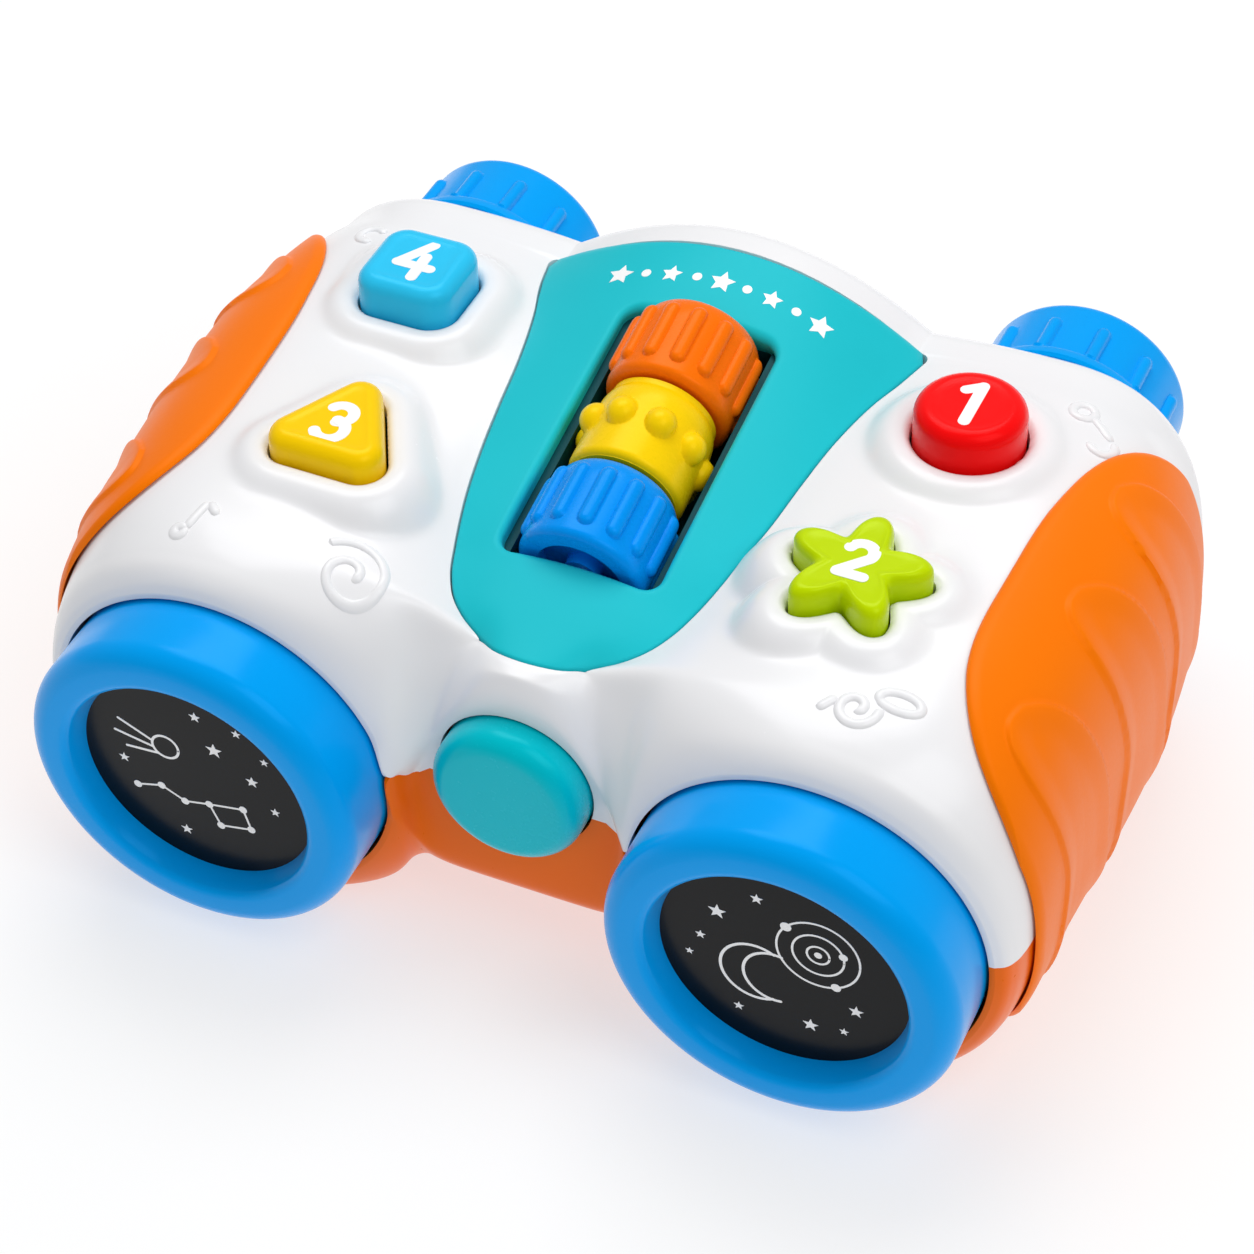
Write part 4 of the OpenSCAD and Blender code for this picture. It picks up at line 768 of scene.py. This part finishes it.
marks = [spiral(-31.5, 24.8, 7.0, 1.75, 237, 90),
         spiral(54.6, 26, 3.8, 1.5, 200),
         arc(60.6, 29.4, 3.4, -170, 220, 50, 0.5),
         line((51.4, 27), (49, 23.6), steps=12),
         arc(-61.0, 22.2, 0.9, 0, 420, 40),
         line((-60.2, 22.6), (-58.9, 29.0), steps=20),
         line((-58.9, 29), (-56.2, 26.6), steps=12),
         arc(64.6, 104, 1.9, 0, 400, 50),
         line((66.4, 103.4), (71.0, 99.4), steps=20),
         arc(70.0, 97.4, 2.1, 60, -170, 40),
         arc(-66.5, 101.5, 2.2, 20, 300, 40)]
raised = [raised_line(path) for path in marks]
skin = flat.reshape(skin.shape)
upper = make("upper_case", *wall_between(skin, inner_skin(skin, rows), False))
holes = [moved(prism(button_outline(kind, travel_gap), 15, 70), bx, by)
         for kind, (bx, by, up) in buttons.items()]
seat_hole_w, seat_hole_len = 29.6, 58.6
opening, faces = prism(rectangle(seat_hole_w, seat_hole_len), -22, 3)
cut_away(upper, holes + [bore, (sloped(opening), faces)])
white_plastic = plastic("white_gloss_plastic", (240, 240, 242), 0.24, cloud=0.012, grain=0.003)
finish_piece(upper, white_plastic, "case", "white_plastic", "upper_shell")
finish_piece(make("case_marks", *merged(raised)), white_plastic, "case", "white_plastic")

# Centre panel: a teal plate that drops into its seat and frames the rollers. Its window has
# walls that reach down to the cradle, and a row of plain printed stars and dots runs behind it.
teal = (32, 192, 204)


def panel_z(x, y):
    """Height of the panel's face, which is arched across its width."""
    half_w, edge, crown = panel(y)
    return crown - (crown - edge) * (x / half_w) ** 2


turn_y = panel_y1 - panel_turn
side_y = np.concatenate([np.linspace(panel_y0, turn_y, 200),
                         turn_y + panel_turn * np.sin(np.linspace(0, math.pi / 2, 12))[1:]])
side_x = panel(side_y)[0]
right_edge = np.stack([side_x, side_y], 1)
left_edge = np.stack([-side_x, side_y], 1)[::-1]
front_edge = np.stack([np.linspace(-side_x[0], side_x[0], 20)[1:-1], np.full(18, panel_y0)], 1)
rear_edge = np.stack([np.linspace(side_x[-1], -side_x[-1], 80)[1:-1], np.full(78, panel_y1)], 1)
panel_line = np.concatenate([right_edge, rear_edge, left_edge, front_edge])
centre = np.array([0, window_y])
spokes = panel_line - centre
bearing = np.arctan2(spokes[:, 1], spokes[:, 0])
order = np.argsort(bearing)
bearing, reach = bearing[order], np.linalg.norm(spokes, axis=1)[order]

corner_r, corner_steps = 3.0, 12
corner_spots = np.array([[1, 1], [-1, 1], [-1, -1], [1, -1]])
corner_spots = corner_spots * [window_w / 2 - corner_r, window_len / 2 - corner_r]
corner = round_corners(4, 0.0, corner_r, 45, corner_steps) + np.repeat(corner_spots, corner_steps, 0)
window_line = np.concatenate([line(spot, after, steps=31 if k % corner_steps == corner_steps - 1 else 2)[:-1]
                              for k, (spot, after) in enumerate(zip(corner, np.roll(corner, -1, axis=0)))])


def panel_ring(grow):
    """The window's outline, grown or shrunk, where the panel's own slope puts it."""
    d = window_line.copy()
    normal = np.roll(d, -1, 0) - np.roll(d, 1, 0)
    normal = np.stack([normal[:, 1], -normal[:, 0]], 1) / np.linalg.norm(normal, axis=1, keepdims=True)
    d = d + grow * normal
    return d * [1, math.cos(slope)] + [0, window_y]


rim_r, edge_r, plate_fit, wall_drop, skirt_drop = 1.4, 0.45, 0.06, 5.0, 1.5
start = panel_ring(rim_r)
way = np.arctan2(start[:, 1] - window_y, start[:, 0])
reach_at = np.interp(way, bearing, reach, period=2 * math.pi)
end = centre + np.stack([np.cos(way), np.sin(way)], 1) * reach_at[:, None]
inward = (centre - end) / np.linalg.norm(centre - end, axis=1, keepdims=True)
wall_foot = np.full(len(window_line), -wall_drop)
rings = [sloped(np.c_[window_line * 1.06, wall_foot]), sloped(np.c_[window_line, wall_foot])]
for t in np.radians(np.linspace(0, 90, 6)):
    ring = panel_ring(rim_r * (1 - math.cos(t)))
    rings.append(np.c_[ring, panel_z(ring[:, 0], ring[:, 1]) - rim_r * (1 - math.sin(t))])
outer = end + inward * (plate_fit + edge_r)
for t in np.linspace(0, 1, 26)[1:]:
    ring = lerp(start, outer, t)
    rings.append(np.c_[ring, panel_z(ring[:, 0], ring[:, 1])])
for t in np.radians(np.linspace(0, 90, 5))[1:]:
    ring = end + inward * (plate_fit + edge_r * (1 - math.sin(t)))
    rings.append(np.c_[ring, panel_z(ring[:, 0], ring[:, 1]) - edge_r * (1 - math.cos(t))])
rings.append(rings[-1] - np.array([0, 0, skirt_drop]))
grid = np.stack(rings)
teal_plastic = plastic("teal_satin_plastic", teal, 0.36, cloud=0.03, grain=0.006, gloss=0.3)
plate = make_round("panel_plate", round_front(grid))
finish_piece(plate, teal_plastic, "case", "teal_plastic", "centre_panel")
dress(plastic("cradle_dark_teal", (10, 74, 82), 0.4), "roller_cradle")


def star_outline(r, inner=0.5):
    a = np.radians(90 + 36 * np.arange(10))
    d = np.where(np.arange(10) % 2 == 0, r, r * inner)
    return np.stack([d * np.cos(a), d * np.sin(a)], 1)


print_pitch, print_y, print_sag = 4.6, 103.2, 0.0035
prints = []
for k in range(-4, 5):
    x = k * print_pitch
    y = print_y - print_sag * x ** 2
    outline = star_outline(2.3 if k % 4 == 0 else 1.9) if k % 2 == 0 else circle(0.85, 24)
    points, faces = prism(outline, 0, 0)
    half = len(outline)
    points[:, :2] += [x, y]
    level = panel_z(points[:, 0], points[:, 1])
    points[:, 2] = level + np.where(np.arange(2 * half) < half, -0.2, 0.06)
    prints.append((points, faces))
finish_piece(make("panel_print", *merged(prints)), print_white, "case", "white_plastic")

# Front button: a moulded teal puck on the bridge, with a broad round rim. It presses straight in,
# against a spring and a switch on the front board.
puck_r, puck_round, puck_depth, puck_stand = 13.3, 3.4, 8.2, 6.0
puck_profile = [(0.03, 0.0), (4.0, 0.0), (8.0, 0.02), (9.6, 0.06)]
puck_profile += [(puck_r - puck_round * (1 - math.sin(t)), puck_round * (1 - math.cos(t)) + 0.06)
                 for t in np.radians(np.linspace(4, 90, 14))]
puck_profile += [(puck_r, 6.0), (puck_r, puck_depth), (0.03, puck_depth)]


def turned(name, profile, x, y, z, steps=128):
    """A piece turned about an axis that runs to the rear."""
    a = round_steps(steps)
    grid = np.stack([np.stack([x + r * np.sin(a), np.full(steps, y + d), z + r * np.cos(a)], 1)
                     for r, d in profile])
    return make_round(name, grid)


puck = turned("bridge_puck", puck_profile, 0, bridge_y - puck_stand, puck_z)
# The puck's base colour is brightened as painted light. It stands in for the front light that its upright
# face gets too little of, so it is a lighter, cleaner copy of the panel's teal.
puck_teal_painted_light = plastic("bridge_puck_teal_painted_light", (0, 192, 206), 0.26)
finish_piece(puck, puck_teal_painted_light, "front_button", "teal_plastic", "front_button")

# Objectives: two blue rings with a round front edge and a bevel that runs down to a black lens
# disc. The discs carry a plain white line print of a night sky, and lamps shine behind them.
blue = (0, 162, 246)
bevel_r, inner_round, outer_round, lens_seat = 23.8, 1.9, 4.0, 4.95
ring_profile = [(21.1, lens_seat), (21.12, 4.6), (21.35, 3.4), (21.75, 2.2)]
ring_profile += [(bevel_r - inner_round * math.sin(t), inner_round * (1 - math.cos(t)))
                 for t in np.radians(np.linspace(62, 0, 9))]
ring_profile += [(ring_r - outer_round * (1 - math.sin(t)), outer_round * (1 - math.cos(t)))
                 for t in np.radians(np.linspace(3, 90, 13))]
ring_profile += [(ring_r, 9.0), (ring_r, 14.0), (ring_r, 22.0), (25.2, 22.0), (25.2, lens_seat)]
blue_plastic = plastic("blue_gloss_plastic", blue, 0.22, gloss=0.32)
lens_black = plastic("lens_black_gloss", (10, 10, 11), 0.22, cloud=0.1, grain=0.006)
reflector_white = plastic("reflector_white", (236, 236, 234), 0.4)


def sparkle(x, y, r):
    """A small printed star."""
    return moved(prism(star_outline(r, 0.42), 0, 0.06), x, y)


def strokes(paths, width=0.5):
    """Printed lines, each a little higher than the last, so that no two lie level where they cross."""
    return [ribbon(p, width, 0, 0.05 + 0.006 * (k % 4)) for k, p in enumerate(paths)]


comet = [arc(-6, 5, 2.6, 0, 356, 40), line((-8.8, 5.8), (-15, 8.8), steps=4),
         line((-8.6, 4.2), (-16, 5.6), steps=4), line((-7.8, 2.9), (-14, 2.4), steps=4)]
plough_spots = [(-13, -7), (-8, -5.4), (-3.5, -7.6), (1.5, -6.4),
                (3.4, -11), (9.6, -9.6), (8.4, -5), (1.5, -6.4)]
plough = [line(a, b, steps=3) for a, b in zip(plough_spots, plough_spots[1:])]
moon = [arc(-5, -4, 6.4, 60, 300, 40), arc(-1.6, -4, 5.66, 282, 78, 34)]
orbits = [arc(6, 5, r, 0, 357, 60) for r in (2.0, 4.6, 7.4)]
left_print = strokes(comet) + strokes(plough, 0.4)
left_print += [moved(prism(circle(0.8, 16), 0, 0.09), x, y) for x, y in plough_spots[:-1]]
left_print += [sparkle(x, y, r) for x, y, r in
               ((4, 8, 1.7), (11, 3, 1.3), (1, 15, 1.2), (14, 9, 0.9),
                (-15, -1, 1.1), (-4, -15, 1.2), (9, 14, 1.0), (15, -3, 1.0))]
right_print = strokes(moon, 0.55) + strokes(orbits, 0.4)
right_print += [moved(prism(circle(r, 20), 0, 0.06), x, y) for x, y, r in
                ((10.4, 6.4, 0.8), (0.2, 9.5, 1.0), (9.3, -1.6, 0.9), (6, 5, 0.7))]
right_print += [sparkle(x, y, r) for x, y, r in
                ((-12, 8, 1.7), (-5, 14, 1.2), (13, -6, 1.4), (5, -13, 1.5),
                 (-15, 1, 1.0), (-8, -14, 1.0), (11, -12, 0.9), (-17, -4, 0.8))]
lens_y, print_share = 4.75, 0.94
for name, side, design in (("left", -1, left_print), ("right", 1, right_print)):
    x = side * objective_pitch / 2
    ring = turned(f"{name}_objective_ring", ring_profile, x, 0, 0, 192)
    finish_piece(ring, blue_plastic, "case", "blue_plastic", f"objective_ring_{name}")
    drawn = [(np.c_[x + print_share * p[:, 0], lens_y - p[:, 2], print_share * p[:, 1]],
              [f[::-1] for f in faces]) for p, faces in design]
    finish_piece(make(f"{name}_lens_print", *merged(drawn)), print_white, "case", "white_plastic")
    dress(lens_black, f"lens_{name}")
    dress(reflector_white, f"lens_reflector_{name}")

# Side grips: soft orange overmoulds on the barrels, with a round edge and three long leaf-shaped
# ridges that overlap like feathers from front to rear.
grip_gap, grip_t, grip_len, grip_start = 0.5, 1.7, 87.5, lip_y + 7
grip_up, grip_down, grip_edge, body_share, leaf_h = 79, 52, 2.2, 0.6, 0.56
leaf = np.array([[0, 0], [-4.2, 0.2], [-7.0, -2.0], [-8.8, -6.4], [-9.2, -12.6],
                 [-8.2, -21], [-6.6, -30.5], [-7.4, -46], [-3, -60], [16, -60],
                 [13.5, -40], [10.8, -24], [8.2, -14.2], [6.2, -7.8], [3.4, -2.8]])
leaf = through_columns(np.concatenate([leaf, leaf[:1]])[None], 5)[0]
leaf_spots = [(38.2, 38.4), (64.3, 41.4), (88.2, 43.4)]


def grip_skin(off, rows, cols):
    """The barrel's side under a grip, moved out, as rows of points from the front to the rear."""
    a, b = np.meshgrid(np.linspace(0, 1, rows), np.linspace(-1, 1, cols), indexing="ij")
    s = -0.985 * np.cos(math.pi * a)
    y = grip_start + grip_len * (1 + s) / 2
    reach = (1 - np.abs(s) ** 3) ** (1 / 3)
    cx, wide, high, n = barrel(y)
    n = np.where(b > 0, n, foot_power(n))
    h = np.where(b > 0, high, foot_reach)
    furthest = np.radians(np.where(b > 0, grip_up, grip_down)) * reach
    # Even steps up the side, because the section's corner is square
    t = furthest * np.where(b > 0, 1 - (1 - np.abs(b)) ** 1.35, np.abs(b)) * np.sign(b)
    x = cx + (wide + off) * np.cos(t) ** (2 / n)
    z = np.sign(b) * (h + off) * np.abs(np.sin(t)) ** (2 / n)
    return np.stack([x, y, z], 2)


def grip_height(skin):
    """How far each point of a grip stands out: a round edge, and the leaves laid over each other."""
    run = np.cumsum(np.linalg.norm(np.diff(skin, axis=1), axis=2), axis=1)
    run = np.concatenate([np.zeros((len(run), 1)), run], 1)
    up = run - run[:, skin.shape[1] // 2][:, None]
    edge = np.minimum(run, run[:, -1:] - run)
    ends = np.minimum(skin[..., 1] - skin[0, 0, 1], skin[-1, 0, 1] - skin[..., 1])
    edge = np.minimum(edge, ends * 1.2)
    body = grip_t * dome(1 - limit(edge / grip_edge))
    spots = np.stack([skin[..., 1], up], 2).reshape(-1, 2)
    lines = np.zeros(len(spots))
    for at in leaf_spots:
        inside = -outline_distance(spots - np.array(at), leaf)
        lines = np.maximum(lines, smooth((inside + 0.2) / 0.5) * (1 - 0.9 * smooth((inside - 0.3) / 5)))
    return body, lines.reshape(body.shape) * smooth((edge - 1.0) / 3)


under = grip_skin(grip_gap, 260, 201)
body, lines = grip_height(under)
high_skin = grip_skin(grip_gap + 1.0, 260, 201)
over = under + (high_skin - under) * (body_share * body + leaf_h * lines + 0.01)[..., None]
grip_orange = plastic("soft_grip_orange", (255, 122, 0), 0.42, cloud=0.05, grain=0.03, grain_size=1400.0)
for name, s in (("left", -1), ("right", 1)):
    points, faces = wall_between(over * np.array([s, 1, 1]), under * np.array([s, 1, 1]), s < 0)
    grip = make(f"{name}_side_grip", points, faces, 50)
    finish_piece(grip, grip_orange, "case", "orange_grip", f"{name}_grip")

# Eyepieces: two blue cups that turn on grey sleeves at the rear, with a smooth base flange, raised
# ribs for the fingers, a rolled rim and a dark lens at the bottom of the cup.
eye_x, eye_z, eye_y = eyepiece_pitch / 2, 16.4, rear_y + 0.3
cup_r, cup_ribs, cup_rib_h, cup_rib_half_w, cup_rib_len, cup_turn = 18.3, 13, 1.15, 1.25, 11.0, 12.5
dark_blue = plastic("eye_lens_dark", (30, 38, 48), 0.12, cloud=0.1, grain=0.004)
grey_plastic = plastic("sleeve_grey_plastic", (172, 176, 180), 0.4)


def eyepiece(name, x):
    """A ribbed cup, turned about its axis from its flange round its rim to its floor."""
    side = [(11.7, 0.0), (19.6, 0.0), (20.1, 0.5), (20.1, 1.8), (19.8, 2.4), (19.0, 2.75), (18.35, 2.95)]
    side += [(cup_r - 0.1 * t, 3.1 + t * 12.6) for t in np.linspace(0, 1, 30)]
    side += [(15.9 + 2.3 * math.cos(t), 15.9 + 2.3 * math.sin(t))
             for t in np.radians(np.linspace(0, 100, 10))]
    side += [(15.0, 17.6), (14.8, 17.0), (14.75, 10.4), (14.4, 10.2), (11.7, 10.2), (11.7, 0.0)]
    side = np.array(side)
    a = round_steps(cup_ribs * 36)
    near = from_nearest(a, cup_ribs, cup_turn) * cup_r
    outer = (side[:, 0] > 17.9) & (side[:, 1] > 2.5)
    along = np.maximum(0, side[:, 1] - cup_rib_len)
    away = np.hypot(near[None], along[:, None])
    rib = cup_rib_h * dome(away / cup_rib_half_w) * outer[:, None]
    r = side[:, :1] + rib
    y = np.repeat(eye_y + side[:, 1:], len(a), 1)
    grid = np.stack([x + r * np.sin(a), y, eye_z + r * np.cos(a)], 2)
    return make_round(name, grid, True)


for name, s in (("left", -1), ("right", 1)):
    cup = eyepiece(f"{name}_eye_cup", s * eye_x)
    finish_piece(cup, blue_plastic, f"eyepiece_{name}", "blue_plastic", f"eyepiece_{name}")
    dress(dark_blue, f"eyepiece_lens_{name}")
    dress(grey_plastic, f"eyepiece_sleeve_{name}")

# Table, light and camera: a plain pale floor that glows a little, as a lit sweep of white paper does,
# a broad soft light from the upper left, a fill from the right, and a long lens.
floor = bpy.data.objects.new("floor", bpy.data.meshes.new("floor"))
floor.data.from_pydata([(-4, -4, 0), (4, -4, 0), (4, 4, 0), (-4, 4, 0)], [], [(0, 1, 2, 3)])
bpy.context.scene.collection.objects.link(floor)
glow = {"Emission Color": (1, 1, 1, 1), "Emission Strength": 0.61}
floor.data.materials.append(plastic("pale_floor", (170, 170, 170), 0.7, cloud=0.01, gloss=0.1, **glow))

world = bpy.data.worlds.new("studio")
bpy.context.scene.world = world
world.use_nodes = True
world.node_tree.nodes["Background"].inputs[0].default_value = (1, 1, 1, 1)
world.node_tree.nodes["Background"].inputs[1].default_value = 0.37


def softbox(name, spot, aim, size, power):
    """A broad lamp at a spot, turned to what it lights."""
    lamp = bpy.data.lights.new(name, "AREA")
    lamp.shape, lamp.size, lamp.size_y, lamp.energy = "RECTANGLE", size[0], size[1], power
    obj = bpy.data.objects.new(name, lamp)
    obj.location = spot
    toward = obj.location - type(obj.location)(aim)
    obj.rotation_euler = toward.to_track_quat("Z", "Y").to_euler()
    bpy.context.scene.collection.objects.link(obj)


softbox("key_light", (-0.2, 0.36, 1.0), (0, 0, 0.03), (0.8, 0.6), 6.0)
softbox("fill_light", (0.62, -0.24, 0.95), (0, 0, 0.03), (0.7, 0.7), 4.2)

azimuth, elevation, roll = np.radians([25.0256, 43.4410, -1.4284])
focal_px, frame_px, sensor_mm = 3487.63, 1254, 36
# From the middle between the ring faces, along the picture's width, its height and towards the lens
stand_off = np.array([25.028, 41.554, 555.073])
ahead = np.array([-math.sin(azimuth), math.cos(azimuth), 0])
above = np.array([0, 0, 1])
right = np.array([math.cos(azimuth), math.sin(azimuth), 0])
up = math.sin(elevation) * ahead + math.cos(elevation) * above
back = math.sin(elevation) * above - math.cos(elevation) * ahead
turn = np.stack([math.cos(roll) * right + math.sin(roll) * up,
                 math.cos(roll) * up - math.sin(roll) * right, back])
spot = (turn.T @ stand_off + np.array([0, -length / 2, axis_h])) / 1000
lens = bpy.data.cameras.new("photo_camera")
lens.sensor_width, lens.sensor_fit, lens.lens = sensor_mm, "HORIZONTAL", focal_px / frame_px * sensor_mm
lens.clip_start = 0.01
camera = bpy.data.objects.new("photo_camera", lens)
place = np.eye(4)
place[:3, :3], place[:3, 3] = turn.T, spot
camera.matrix_world = type(camera.matrix_world)(place.tolist())
bpy.context.scene.collection.objects.link(camera)
bpy.context.scene.camera = camera
bpy.context.scene.view_settings.view_transform = "Standard"
